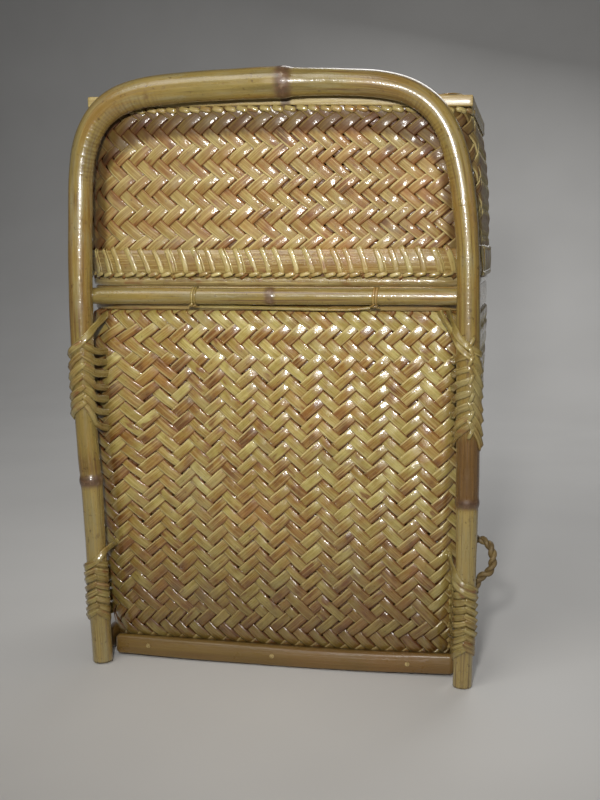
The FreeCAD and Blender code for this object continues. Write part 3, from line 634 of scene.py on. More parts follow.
def flat_weave(name, z, x0, x1, y0, y1, r, L, mat, body, nodes, up=1.0, wide=0.93, amp=0.7, thick=0.9, crown=0.35, seg=3, drop=1.2):
    """2/2 twill panel in a horizontal plane, strips on the diagonals, clipped to a rounded rectangle."""
    pitch = L / math.sqrt(2)
    cx, cy = (x0 + x1) / 2, (y0 + y1) / 2
    hx, hy = (x1 - x0) / 2, (y1 - y0) / 2
    across = np.array([-1.0, -0.70, 0.0, 0.70, 1.0, 0.90, -0.90])
    top = np.array([0.0, 0.64, 1.0, 0.64, 0.0, 0.0, 0.0])
    under = np.array([0, 0, 0, 0, 0, -1.0, -1.0])

    def inside(x, y):
        qx, qy = np.abs(x) - (hx - r), np.abs(y) - (hy - r)
        d = np.hypot(np.maximum(qx, 0), np.maximum(qy, 0)) + np.minimum(np.maximum(qx, qy), 0) - r
        return d

    reach = int((hx + hy) / L) + 2
    for fam in (0, 1):
        B = Build()
        for i in range(-reach, reach + 1):
            w = np.arange(-reach * 2 * seg, reach * 2 * seg + 1) / (2.0 * seg)
            x = (i + w) * L if fam == 0 else (i - w) * L
            y = w * L
            d = inside(x, y)
            ok = np.where(d < -0.2)[0]
            if len(ok) < 4:
                continue
            w = w[ok[0]:ok[-1] + 1]; x = x[ok[0]:ok[-1] + 1]; y = y[ok[0]:ok[-1] + 1]; d = d[ok[0]:ok[-1] + 1]
            t = 2 * w + i if fam == 0 else i - 2 * w
            lo = np.floor(t + 1e-6); fr = np.clip(t - lo, 0, 1)

            def over(a, b):
                return np.where(np.mod(b - a, 4) < 1.5, 1.0, -1.0)
            if fam == 0:
                va, vb = over(i, lo), over(i, lo + 1)
            else:
                va, vb = -over(lo, i), -over(lo + 1, i)
            h = va + (vb - va) * smooth01(smooth01(fr))
            h = h + np.where(va == vb, va * 0.22 * np.sin(np.pi * fr), 0.0)
            wid = min(pitch * 0.5 * wide * (1 + 0.05 * rng.standard_normal()), pitch * 0.495)
            A = across[None, :] * wid + 0 * w[:, None]
            sg = 1.0 if fam == 0 else -1.0
            X = cx + x[:, None] + A * 0.70711
            Y = cy + y[:, None] - sg * A * 0.70711
            edge = np.clip((d + 9.0) / 9.0, 0, 1) ** 2
            Z = z + up * (amp * h[:, None] + crown * top[None, :] + thick * 0.5 * (1 + 2 * under[None, :]) - edge[:, None] * drop)
            if body == "lid":
                X, Z = X + lean(X, Z), Z + climb(X, Z)
            P = np.stack([X, Y, Z], -1)
            nrm = L * math.sqrt(2)
            suv = np.stack([w[:, None] * nrm + i * 97.0 + 0 * A, A, np.full_like(A, i * 1.3 + fam * 300.0 + z)], -1)
            tone = np.clip(rng.beta(1.5, 2.6), 0, 1)
            # lift falls where the strip dives under and at its edges, for the painted shade in the material
            lift = np.clip(h[:, None], -1, 1) * (1 - np.abs(across)[None, :] ** 3 * 0.25)
            B.grid(P, suv, tone=tone, lift=lift, closed_u=True, caps=True)
        ob = B.obj(name + ("_rising", "_falling")[fam], mat, body, nodes, flip=(up < 0))


def ring_band(name, secs, z0, z1, d0, d1, mat, body, nodes, wave=0.0, n=260, soft=0.6, tone=0.4, waves=0):
    """A band round the wall, d0 inside to d1 outside of it, with softened edges."""
    s = min(soft, (z1 - z0) * 0.4, (d1 - d0) * 0.45)
    prof = [(d0, z0 + s), (d0 + s, z0), (d1 - s, z0), (d1, z0 + s), (d1 + 0.12 * (d1 - d0), (z0 + z1) / 2), (d1, z1 - s), (d1 - s, z1), (d0 + s, z1), (d0, z1 - s)]
    f = np.arange(n) / n
    tot = perimeter(secs, (z0 + z1) / 2)
    P = np.zeros((n + 0, len(prof), 3)); S = np.zeros((n, len(prof), 3))
    ph = rng.uniform(0, 6, 4)
    for k, (d, z) in enumerate(prof):
        dd = d + (wave * (np.sin(f * 2 * np.pi * 9 + ph[0]) + 0.7 * np.sin(f * 2 * np.pi * 23 + ph[1])) if d > d0 + 0.01 else 0)
        zz = z + wave * 0.6 * np.sin(f * 2 * np.pi * 7 + ph[2]) * (1 if abs(z - z1) < s + 0.1 else 0)
        P[:, k] = wall(secs, f, zz + 0 * f, dd + 0 * f)
        S[:, k] = np.stack([f * tot, np.full(n, z - z0), np.full(n, z0 * 0.1)], -1)
    P = np.concatenate([P, P[:1]]); S = np.concatenate([S, S[-1:] + [tot / n, 0, 0]])
    B = Build()
    B.grid(P, S, tone=tone, lift=1.0, closed_u=True)
    return B.obj(name, mat, body, nodes, flip=True)


def frames_along(C, up):
    """Tangents, and two axes square to them, for a path C and rough outward directions up."""
    T = np.gradient(C, axis=0)
    T /= np.maximum(np.linalg.norm(T, axis=1, keepdims=True), 1e-9)
    U = up - (up * T).sum(1, keepdims=True) * T
    U /= np.maximum(np.linalg.norm(U, axis=1, keepdims=True), 1e-9)
    S = np.cross(T, U)
    return T, U, S


def resample(P, n, smooth=True):
    """Catmull-Rom through the points, n samples evenly spaced."""
    P = np.asarray(P, float)
    if smooth:
        Q = np.vstack([2 * P[0] - P[1], P, 2 * P[-1] - P[-2]])
        out = []
        for k in range(1, len(Q) - 2):
            t = np.linspace(0, 1, 24, endpoint=False)[:, None]
            a, b, c, d = Q[k - 1], Q[k], Q[k + 1], Q[k + 2]
            out.append(0.5 * ((2 * b) + (-a + c) * t + (2 * a - 5 * b + 4 * c - d) * t ** 2 + (-a + 3 * b - 3 * c + d) * t ** 3))
        P = np.vstack(out + [Q[-2][None]])
    L = np.concatenate([[0], np.cumsum(np.linalg.norm(np.diff(P, axis=0), axis=1))])
    s = np.linspace(0, L[-1], n)
    return np.stack([np.interp(s, L, P[:, k]) for k in range(P.shape[1])], -1), s


def strand(B, pts, up, w, t, n=28, tone=0.4, lift=None, taper=0.0, ident=0.0, around=8, rnd=0.0):
    """A flattened strand: width w, thickness t, its flat side facing up (points or one vector)."""
    C, s = resample(pts, n)
    if np.ndim(up) == 1:
        U0 = np.tile(np.asarray(up, float), (n, 1))
    else:
        U0, _ = resample(up, n, False)
    T, U, S = frames_along(C, U0)
    a = np.linspace(0, 2 * np.pi, around, endpoint=False) + np.pi / around
    k = np.ones(n)
    if taper:
        e = np.minimum(np.arange(n), np.arange(n)[::-1]) / (n * 0.5)
        k = 1 - taper * (1 - np.clip(e * 3, 0, 1)) ** 2
    k = k * (1 + rnd * np.sin(s * 0.35 + ident))
    cx = np.sign(np.cos(a)) * np.abs(np.cos(a)) ** 0.8
    cy = np.sign(np.sin(a)) * np.abs(np.sin(a)) ** 0.9
    P = C[:, None] + S[:, None] * (cx[None, :, None] * (w / 2) * k[:, None, None]) + U[:, None] * (cy[None, :, None] * (t / 2) * k[:, None, None])
    suv = np.stack([np.tile(s[:, None], (1, around)) + ident * 31.0, np.tile((cx * w / 2)[None], (n, 1)), np.full((n, around), ident)], -1)
    # lift is low on the underside of the strand, for the painted shade in the material
    lf = (cy * 0.5 + 0.45)[None, :] * np.ones((n, 1)) if lift is None else lift
    B.grid(P, suv, tone=tone, lift=np.clip(lf, -1, 1), closed_u=True, caps=True)


# ---------------------------------------------------------------- the woven walls
def body_rows(z):
    return (z > 232.0) | (z < 47.0)


def all_rows(z):
    return z > -1e9


weave("body_weave", BODY, 8.5, 365.0, 72, 11.05, body_rows, mat_body, "basket", ("body_shell",))
weave("lid_weave", LID, 297.5, 419.0, 70, 10.3, all_rows, mat_lid, "lid", ("lid_shell",))
flat_weave("lid_top_weave", 423.0, -140.3, 140.3, -2.4, 180.4, 14.0, 15.2, mat_lid, "lid", ("lid_shell",), drop=1.4)
flat_weave("body_bottom_weave", 7.7, -128.5, 128.5, 8.5, 161.5, 18.0, 15.2, mat_body, "basket", ("body_shell",), up=-1.0, drop=-1.2)

# ---------------------------------------------------------------- hoops and bands
ring_band("body_band", HOOP, 272.4, 289.9, -3.4, 0.0, mat_tan, "basket", ("body_hoop",), wave=0.08, tone=0.35)
ring_band("lid_hoop", RIMHOOP, 289.9, 297.2, -3.2, 0.15, mat_olive, "lid", ("lid_rim_hoop",), wave=0.10, soft=1.5, tone=0.5)
ring_band("lid_band", LID, 299.2, 317.0, -0.2, 1.6, mat_tan, "lid", ("lid_rim_band",), wave=0.10, tone=0.25)
ring_band("lid_band_inner", LID, 300.2, 316.0, -3.9, -2.9, mat_tan, "lid", ("lid_rim_inner_band",), wave=0.04, tone=0.5)
ring_band("mouth_band", BODY, 352.2, 362.8, -4.7, -3.0, mat_tan, "basket", ("body_mouth_inner_hoop",), wave=0.05, tone=0.4)


# ---------------------------------------------------------------- whipped rim of the lid
def around_wall(secs, f, z, off):
    return wall(secs, np.atleast_1d(f), np.atleast_1d(np.asarray(z, float)), np.atleast_1d(np.asarray(off, float)))


def rim_stitches():
    B = Build()
    n = 88
    tot = perimeter(LID, 308)
    f = 0.0
    fs = []
    for k in range(n):
        fs.append((k + 0.5) / n + rng.uniform(-0.0011, 0.0011))
    for k, fc in enumerate(fs):
        top_z, bot_z = 318.6 + rng.uniform(-0.7, 0.9), 298.9
        lean = (3.4 + rng.uniform(-0.7, 0.7)) / tot
        t = np.linspace(0, 1, 13)
        ff = fc + lean * (2 * t - 1) * 1.0 + (0.9 / tot) * np.sin(np.pi * t)
        zz = top_z + (bot_z - top_z) * t
        off = 1.55 + 0.50 * np.sin(np.pi * np.clip(t * 1.02, 0, 1)) ** 0.45
        off[0] = -0.6; off[-1] = 0.3
        C = wall(LID, ff, zz, off)
        O = wall(LID, ff, zz, off + 1) - C
        w = rng.uniform(3.9, 4.7)
        strand(B, C, O, w, 0.90, n=20, tone=float(np.clip(rng.beta(1.4, 3.0), 0, 1)), taper=0.45, ident=k * 1.31, around=8, rnd=0.04)
        # a thinner companion strand beside some stitches
        if rng.uniform() < 0.35:
            C2 = wall(LID, ff + 3.0 / tot, zz, off - 0.35)
            strand(B, C2, O, 1.5, 0.8, n=14, tone=0.5, taper=0.5, ident=k * 2.7, around=6)
    return B.obj("lid_stitching", mat_pale, "lid", ("lid_rim_stitching",))


rim_stitches()


def bump_row(name, secs, z, off, n, size, mat, body, nodes, lean=0.5, seed=1):
    """A row of small slanting knots, as the edge of a twined row."""
    B = Build()
    r = np.random.default_rng(seed)
    tot = perimeter(secs, z)
    for k in range(n):
        fc = (k + 0.5) / n + r.uniform(-0.1, 0.1) / n
        half = size[0] / 2 / tot
        t = np.linspace(0, 1, 7)
        ff = fc + half * (2 * t - 1)
        zz = z + lean * size[1] * (t - 0.5) * 2 + r.uniform(-0.25, 0.25)
        oo = off + size[2] * 0.35 * np.sin(np.pi * t) - 0.3
        C = wall(secs, ff, zz, oo)
        O = wall(secs, ff, zz, oo + 1) - C
        strand(B, C, O, size[1] * 1.25 * r.uniform(0.9, 1.12), size[2], n=9, tone=float(np.clip(r.beta(1.5, 2.5), 0, 1)), taper=0.75, ident=k * 1.9 + seed, around=7)
    return B.obj(name, mat, body, nodes)


bump_row("lid_rim_knots", LID, 298.6, 1.3, 96, (8.2, 2.6, 2.0), mat_pale, "lid", ("lid_rim_braid",), lean=0.45, seed=5)
bump_row("lid_edge_knots", LID, 412.2, 0.75, 104, (8.6, 3.4, 2.0), mat_pale, "lid", ("lid_top_edge_braid",), lean=-0.3, seed=9)


# ---------------------------------------------------------------- whole canes
def cane_tube(name, path, node_s, creases, body, nodes, n, around=40, low=None, wob=0.12, brown=None):
    """path rows are x, y, z, radius in mm. node_s lists (place along, half width, swell, strength)."""
    C4, s = resample(path, n)
    C, R = C4[:, :3], C4[:, 3].copy()
    T = np.gradient(C, axis=0); T /= np.linalg.norm(T, axis=1, keepdims=True)
    Y = np.tile(np.array([0.0, -1.0, 0.0]), (n, 1))
    _, U, S = frames_along(C, Y)
    knot = np.zeros(n)
    for sc, hw, sw, st in node_s:
        g = np.exp(-((s - sc) / hw) ** 2)
        R += sw * g
        lip = np.exp(-((s - sc - hw * 1.2) / (hw * 0.5)) ** 2)
        R -= sw * 0.35 * lip
        knot = np.maximum(knot, st * np.exp(-((s - sc) / (hw * 1.25)) ** 4))
    a = np.linspace(0, 2 * np.pi, around, endpoint=False)
    ca, sa = np.cos(a)[None, :], np.sin(a)[None, :]
    ph = rng.uniform(0, 6, 6)
    rad = R[:, None] * (1 + 0.010 * np.sin(2 * a[None, :] + s[:, None] * 0.013 + ph[0]) + 0.006 * np.sin(3 * a[None, :] - s[:, None] * 0.021 + ph[1]))
    rad = rad + wob * np.sin(s * 0.045 + ph[2])[:, None] + 0.05 * np.sin(s * 0.16 + ph[3])[:, None]
    wrk = np.zeros((n, around))
    # creases on the inside of each bend
    K = np.gradient(T, axis=0)
    kn = np.linalg.norm(K, axis=1)
    Kd = K / np.maximum(kn[:, None], 1e-9)
    ku = (Kd * U).sum(1)[:, None]; ks = (Kd * S).sum(1)[:, None]
    inner = ku * ca + ks * sa
    for s0, s1, amp, per in creases:
        e = np.clip((s - s0) / 12, 0, 1) * np.clip((s1 - s) / 12, 0, 1)
        ph2 = np.cumsum(1 + 0.25 * np.sin(s * 0.9 + ph[4])) * (s[1] - s[0])
        saw = 0.5 + 0.5 * np.sin(ph2 * 2 * np.pi / per)[:, None]
        saw = saw ** 2.2
        m = np.clip((inner - 0.05) / 0.5, 0, 1) * e[:, None]
        rad = rad - amp * saw * m
        # wrk marks the crease troughs, darkened as painted shade in the material
        wrk = np.maximum(wrk, saw * m)
    P = C[:, None] + U[:, None] * (ca * rad)[..., None] + S[:, None] * (sa * rad)[..., None]
    suv = np.stack([np.tile(s[:, None], (1, around)), np.tile((np.minimum(a, 2 * np.pi - a) * 9)[None], (n, 1)), np.full((n, around), ph[5])], -1)
    lowv = np.zeros(n) if low is None else low(s)
    brv = np.full(n, 0.12) if brown is None else brown(s)
    B = Build()
    B.grid(P, suv, tone=lowv[:, None], lift=brv[:, None], knot=knot[:, None], wrk=wrk, closed_u=True, caps=True)
    return B.obj(name, mat_cane, body, nodes), s


path = np.array([(x, FRAME_Y - max(r - 9.9, 0.0), z, r) for x, z, r in FRAME], float)
# rounded feet: short extra rows with a falling radius
foot_l = np.array([(-134.6, FRAME_Y, 0.05, 4.6), (-134.62, FRAME_Y, 0.7, 6.3), (-134.65, FRAME_Y, 2.0, 7.3), (-134.75, FRAME_Y, 4.0, 7.6)])
foot_r = np.array([(142.5, FRAME_Y, 4.0, 7.2), (142.45, FRAME_Y, 2.0, 6.9), (142.42, FRAME_Y, 0.7, 5.9), (142.4, FRAME_Y, 0.05, 4.2)])
path = np.vstack([foot_l, path[1:-1], foot_r])
Lp, sp = resample(path, 900)


def s_at(x, z):
    d = np.hypot(Lp[:, 0] - x, Lp[:, 2] - z)
    return float(sp[np.argmin(d)])


s_nl, s_nr, s_top = s_at(-140.0, 143.5), s_at(144.2, 136.0), s_at(12.5, 433.4)
s_bl0, s_bl1, s_br0, s_br1 = s_at(-141.5, 360), s_at(-70, 432.5), s_at(90, 427), s_at(139, 350)


def low_tone(s):
    a = 1 - smooth01(np.clip((s - (s_nl - 6)) / 10, 0, 1))
    b = smooth01(np.clip((s - (s_nr + 2)) / 5, 0, 1))
    return np.maximum(a * 0.50, b)


def bump_at(s, c, w0, w1):
    """1 at c, falling to 0 over w0 before it and w1 after it."""
    return smooth01(np.clip(1 - np.where(s < c, (c - s) / w0, (s - c) / w1), 0, 1))


def frame_brown(s):
    v = np.full_like(s, 0.10)
    v = np.maximum(v, 0.92 * np.where(s <= s_nr, smooth01(np.clip((s - (s_nr - 66)) / 30, 0, 1)), 0))      # long brown stretch over the right node
    v = np.maximum(v, 0.45 * bump_at(s, s_nl + 9, 7, 22))
    v = np.maximum(v, 0.30 * bump_at(s, s_nr - 130, 60, 90))
    v = np.maximum(v, 0.34 * bump_at(s, s_top + 70, 60, 90))
    v = np.maximum(v, 0.30 * bump_at(s, s_nl + 120, 40, 60))
    return v


cane_tube("frame_bent_cane", path,
          [(s_nl, 3.9, 0.9, 1.0), (s_nr, 2.9, 0.7, 1.0), (s_top, 4.8, 0.75, 1.0), (s_at(-134.9, 71.0), 3.0, 0.8, 0.35)],
          [(s_bl0, s_bl1, 0.42, 3.3), (s_br0, s_br1, 0.46, 3.1)],
          "basket", ("frame_cane",), n=820, around=44, low=low_tone, brown=frame_brown)

rail = np.array([(-138.0, RAIL_Y, RAIL_Z, 4.6), (-137.2, RAIL_Y, RAIL_Z, 5.9), (-134, RAIL_Y, RAIL_Z, 6.1), (-90, RAIL_Y, RAIL_Z + 0.1, 6.15), (-40, RAIL_Y, RAIL_Z, 6.1), (4, RAIL_Y, RAIL_Z, 6.1),
                 (50, RAIL_Y, RAIL_Z, 6.05), (100, RAIL_Y, RAIL_Z + 0.1, 6.1), (134, RAIL_Y, RAIL_Z, 6.1), (137.2, RAIL_Y, RAIL_Z, 5.9), (138.0, RAIL_Y, RAIL_Z, 4.6)], float)
cane_tube("front_rail", rail, [(138.0 + 3.0, 3.2, 0.35, 0.9)], [], "basket", ("mid_rail",), n=240, around=28, wob=0.05)


# ---------------------------------------------------------------- ties on the rail
def rail_tie(name, x, nodes):
    B = Build()
    for q, dx in enumerate((-1.0, 1.0)):
        a = np.radians(np.linspace(28, 332, 26))       # 0 points back to the wall
        pts = [(x + dx + 0.5 * math.sin(v * 1.0), RAIL_Y + (RAIL_R + 0.42) * math.cos(v), RAIL_Z + (RAIL_R + 0.42) * math.sin(v)) for v in a]
        up = [(0, math.cos(v), math.sin(v)) for v in a]
        strand(B, pts, np.array(up), 1.9, 0.8, n=40, tone=0.3 + 0.3 * q, ident=x * 0.37 + q)
    # the knot under the rail
    for q in range(3):
        b = math.radians(236 + q * 9)
        c = np.array([x - 2.2 + q * 1.6, RAIL_Y + (RAIL_R + 1.1) * math.cos(b), RAIL_Z + (RAIL_R + 1.1) * math.sin(b)])
        d = np.array([0.0, math.cos(b), math.sin(b)])
        t = np.array([0.8, -0.5 + 0.5 * q, 0.5 - 0.4 * q]); t /= np.linalg.norm(t)
        pts = [c - t * 2.4, c - t * 1.0 + d * 0.7, c + t * 1.0 + d * 0.7, c + t * 2.4]
        strand(B, pts, d, 1.9, 1.4, n=12, tone=0.9, ident=x + q * 3.3, taper=0.5)
    return B.obj(name, mat_lash, "basket", nodes)


rail_tie("rail_tie_left", TIES_X[0], ("mid_rail_tie_left",))
rail_tie("rail_tie_right", TIES_X[1], ("mid_rail_tie_right",))
B = Build()
strand(B, [(TIES_X[0] + 2.0, -4.3, 274.9), (-20.0, -4.5, 274.4), (20.0, -4.6, 273.7), (55.0, -4.6, 273.4), (TIES_X[1] - 2.0, -4.4, 275.0)],
       np.array([0, -1.0, 0.35]), 2.7, 1.5, n=60, tone=0.15, ident=3.0)
B.obj("rail_binding", mat_lash, "basket", ("mid_rail_strand",))


# ---------------------------------------------------------------- lashings
def leg_at(side, z):
    rows = sorted([f for f in FRAME if f[0] * side > 0 and f[1] < 400], key=lambda f: f[1])
    zs = [r[1] for r in rows]
    return float(np.interp(z, zs, [r[0] for r in rows])), float(np.interp(z, zs, [r[2] for r in rows]))


def wall_y(x, z):
    Z, Wd, F, B_, R = sec_arrays(BODY)
    w, yf, r = float(np.interp(z, Z, Wd)), float(np.interp(z, Z, F)), float(np.interp(z, Z, R))
    ax = abs(x)
    if ax <= w - r:
        return yf
    d = min(ax - (w - r), r)
    return yf + r - math.sqrt(max(r * r - d * d, 0))


def lashing(name, side, turns, lead, nodes, ridge_a, w, seed, out_drop=12.0, inner_reach=True, knots=(), outer_end=352.0, lift_front=0.30, grip=0.85):
    """turns lists (height at the ridge, drop of the inner half). Inner halves run from the ridge round the inner side to the
    wall; outer halves run from the ridge down round the outer side. Angles: 270 faces the front, 180 inwards, 360 outwards."""
    B = Build()
    r = np.random.default_rng(seed)
    t_s = 1.05
    for k, (z, drop) in enumerate(turns):
        z = z + r.uniform(-0.4, 0.4)
        x, rad = leg_at(side, z)
        ax = abs(x)
        rr_ = rad + t_s * 0.5 + 0.10
        pts, ups = [], []
        angs = np.linspace(math.radians(ridge_a + 4), math.radians(184), 8)
        xi = ax - rad - r.uniform(4.6, 5.8)
        for q, a in enumerate(angs):
            t = q / 7.0
            rrr = rr_ + lift_front * (1 - t) ** 2 + (0.5 if k % 2 else 0.0) * (1 - t)
            pts.append((ax + rrr * math.cos(a), FRAME_Y + rrr * math.sin(a), z - drop * grip * t))
            ups.append((math.cos(a), math.sin(a), 0))
        zi = z - drop
        if inner_reach:
            pts.append((ax - rad - 1.9, FRAME_Y + 6.5, z - drop * (grip + (1 - grip) * 0.5))); ups.append((-0.7, -0.7, 0))
            pts.append((xi + 1.0, wall_y(xi, zi) - 1.0, zi + 0.4)); ups.append((-0.3, -1, 0))
            pts.append((xi - 1.5, wall_y(xi - 1.5, zi) + 1.3, zi - 0.8)); ups.append((-0.1, -1, 0))
        else:
            pts.append((ax - rr_ * 0.80, FRAME_Y + rr_ * 0.62, z - drop * 0.95)); ups.append((-0.8, 0.6, 0))
            pts.append((ax - rr_ * 0.25, FRAME_Y + rr_ * 0.97, z - drop)); ups.append((-0.2, 1, 0))
        P = np.array(pts); U = np.array(ups, float); P[:, 0] *= side; U[:, 0] *= side
        strand(B, P, U, w * r.uniform(0.92, 1.08), t_s, n=40, tone=float(np.clip(r.beta(1.5, 2.0), 0, 1)), ident=k * 1.7 + seed, taper=0.15, rnd=0.05)
        # outer half
        pts, ups = [], []
        angs = np.linspace(math.radians(ridge_a - 3), math.radians(outer_end), 8)
        od = out_drop * r.uniform(0.9, 1.1)
        for q, a in enumerate(angs):
            t = q / 7.0
            rrr = rr_ + 0.25 + lift_front * (1 - t) ** 2 + (0.0 if k % 2 else 0.45) * (1 - t)
            pts.append((ax + rrr * math.cos(a), FRAME_Y + rrr * math.sin(a), z + 1.0 - od * t))
            ups.append((math.cos(a), math.sin(a), 0))
        zo = z - od - 2.5
        W = float(np.interp(zo, [q_[0] for q_ in BODY], [q_[1] for q_ in BODY]))
        xo = W - 4.0
        if xo > ax - rad:
            pts.append((ax + rad * 0.55, FRAME_Y + rad + 4, z - od * 0.98)); ups.append((1, 0.3, 0))
            pts.append((xo, wall_y(xo, zo) + 0.8, zo)); ups.append((1, 0.1, 0))
        P = np.array(pts); U = np.array(ups, float); P[:, 0] *= side; U[:, 0] *= side
        strand(B, P, U, w * r.uniform(0.92, 1.05), t_s, n=36, tone=float(np.clip(r.beta(1.5, 2.0), 0, 1)), ident=k * 2.3 + seed + 50, taper=0.2, rnd=0.05)
    # leading strands from the wall over the leg
    for q, (xl, zl, zr, zo) in enumerate(lead):
        x, rad = leg_at(side, zr)
        ax = abs(x)
        rr_ = rad + 1.15 + 0.3 * q
        y0 = wall_y(xl, zl)
        pts = [(xl - 1.2, y0 + 1.2, zl + 1.2), (xl + 0.6, y0 - 1.6, zl - 0.6)]
        ups = [(-0.2, -1, 0.3), (-0.3, -1, 0.3)]
        a0 = math.radians(208)
        xm, ym = ax + rr_ * math.cos(a0), FRAME_Y + rr_ * math.sin(a0)
        for t in (0.35, 0.7):
            pts.append((xl + (xm - xl) * t, y0 - 2.0 + (ym - y0 + 2.0) * t, zl + (zr + 5 - zl) * t)); ups.append((-0.5, -1, 0.2))
        for a, t in ((208, 0.0), (236, 0.28), (264, 0.52), (292, 0.72), (320, 0.88), (350, 1.0)):
            a_ = math.radians(a)
            pts.append((ax + rr_ * math.cos(a_), FRAME_Y + rr_ * math.sin(a_), zr + 4.5 + (zo - zr - 4.5) * t)); ups.append((math.cos(a_), math.sin(a_), 0))
        P = np.array(pts); U = np.array(ups, float); P[:, 0] *= side; U[:, 0] *= side
        strand(B, P, U, w * 1.0, 1.3, n=60, tone=0.10 + 0.2 * q, ident=seed + 90 + q, taper=0.15)
    for k, (z, a) in enumerate(knots):
        x, rad = leg_at(side, z)
        a = math.radians(a + r.uniform(-3, 3))
        rr_ = rad + 1.7
        c = np.array([side * (abs(x) + rr_ * math.cos(a)), FRAME_Y + rr_ * math.sin(a), z])
        o = np.array([side * math.cos(a), math.sin(a), 0.0])
        tdir = np.cross(o, [0, 0, 1.0])
        d = tdir * (0.45 if k % 2 else -0.45) + np.array([0, 0, 1.0])
        d /= np.linalg.norm(d)
        pts = [c - d * 4.2 - o * 0.9, c - d * 1.6 + o * 0.2, c + d * 1.6 + o * 0.2, c + d * 4.2 - o * 0.9]
        strand(B, pts, o, 3.0, 1.3, n=14, tone=float(r.beta(1.3, 2.5)), ident=k + seed * 3.0, taper=0.4)
    return B.obj(name, mat_lash, "basket", nodes)


lashing("lashing_ul", -1, [(248.5, 8.5), (240.8, 9.2), (232.3, 9.5), (224.6, 12.6), (216.0, 12.8), (209.2, 16.5), (204.0, 24.0)],
        [(130.5, 268.5, 252.0, 240.0)], ("lashing_upper_left",), 247, 5.6, 11, out_drop=13.0, grip=0.68)
lashing("lashing_ur", 1, [(244.0, 8.0), (235.0, 9.0), (226.0, 10.0), (217.5, 10.0), (209.0, 12.5), (201.5, 18.0), (194.5, 19.0)],
        [(121.0, 272.5, 249.0, 236.0), (127.0, 273.0, 254.5, 243.0)], ("lashing_upper_right",), 286, 5.3, 12, out_drop=17.0,
        knots=[(252 - 6.4 * q, 284) for q in range(11)], outer_end=352.0, grip=0.60)
lashing("lashing_ll", -1, [(80.5, 4.0), (74.9, 4.5), (69.4, 4.5), (63.8, 4.5), (58.2, 5.0), (52.7, 5.0), (47.4, 6.0), (43.0, 8.5)],
        [(127.0, 92.0, 84.0, 74.0)], ("lashing_lower_left",), 254, 5.2, 13, out_drop=8.5, lift_front=0.2, inner_reach=False)
lashing("lashing_lr", 1, [(76.7, 4.0), (71.2, 4.0), (65.8, 4.0), (60.4, 4.5), (55.0, 5.0), (49.6, 5.5), (44.4, 6.5), (39.4, 8.0), (34.6, 9.0), (30.4, 10.0)],
        [(130.5, 93.0, 80.0, 72.5), (131.5, 88.0, 75.0, 68.0)], ("lashing_lower_right",), 276, 5.2, 14, out_drop=6.5, lift_front=0.2)


# ---------------------------------------------------------------- cords
def rope(name, pts, side, nodes):
    """Two-ply cord on its NURBS route."""
    cu = bpy.data.curves.new(name + "_route", "CURVE")
    cu.dimensions = "3D"
    sp_ = cu.splines.new("NURBS")
    sp_.points.add(len(pts) - 1)
    for p, q in zip(sp_.points, pts):
        p.co = (*M(q), 1.0)
    sp_.order_u = 3
    sp_.use_endpoint_u = True
    cu.resolution_u = 24
    tmp = bpy.data.objects.new(name + "_route", cu)
    bpy.context.scene.collection.objects.link(tmp)
    dg = bpy.context.evaluated_depsgraph_get()
    me = bpy.data.meshes.new_from_object(tmp.evaluated_get(dg))
    C = np.array([v.co[:] for v in me.vertices]) * 1000.0
    C[:, 1] -= YS
    bpy.data.objects.remove(tmp)
    bpy.data.meshes.remove(me)
    n = 150
    P, s = resample(C, n, False)
    # steady axes along the route
    T = np.gradient(P, axis=0); T /= np.linalg.norm(T, axis=1, keepdims=True)
    U = np.zeros_like(P); U[0] = np.cross(T[0], [0, 1.0, 0.1]); U[0] /= np.linalg.norm(U[0])
    for k in range(1, n):
        U[k] = U[k - 1] - T[k] * (U[k - 1] @ T[k]); U[k] /= np.linalg.norm(U[k])
    S = np.cross(T, U)
    B = Build()
    ply_r, off_r, per = CORD_R * 0.60, CORD_R * 0.44, 13.5
    a = np.linspace(0, 2 * np.pi, 14, endpoint=False)
    for ply in (0, 1):
        th = 2 * np.pi * s / per + np.pi * ply
        Cc = P + off_r * (U * np.cos(th)[:, None] + S * np.sin(th)[:, None])
        Tc = np.gradient(Cc, axis=0); Tc /= np.linalg.norm(Tc, axis=1, keepdims=True)
        Uc = (U * np.cos(th)[:, None] + S * np.sin(th)[:, None]); Uc -= Tc * (Uc * Tc).sum(1, keepdims=True); Uc /= np.linalg.norm(Uc, axis=1, keepdims=True)
        Sc = np.cross(Tc, Uc)
        ang = a[None, :] + 0 * s[:, None]
        rad = ply_r * (1 + 0.05 * np.cos(5 * (ang + s[:, None] * 0.5)) + 0.03 * np.sin(9 * ang - s[:, None] * 1.1))
        G = Cc[:, None] + Uc[:, None] * (np.cos(ang) * rad)[..., None] + Sc[:, None] * (np.sin(ang) * rad)[..., None]
        suv = np.stack([np.tile(s[:, None], (1, 14)) + ang * 2.0, np.sin(ang) * 3, np.full((n, 14), ply * 5.0)], -1)
        # lift is low on the ply's inner side, for the painted shade between plies
        B.grid(G, suv, tone=0.5, lift=np.cos(ang) * 0.9 + 0.2, closed_u=True, caps=True)
    ob = B.obj(name, mat_rope, "basket", nodes)
    return ob


rope("cord_bend_right", CORD_RIGHT, 1, ("cord_loop_right",))
rope("cord_bend_left", CORD_LEFT, -1, ("cord_loop_left",))


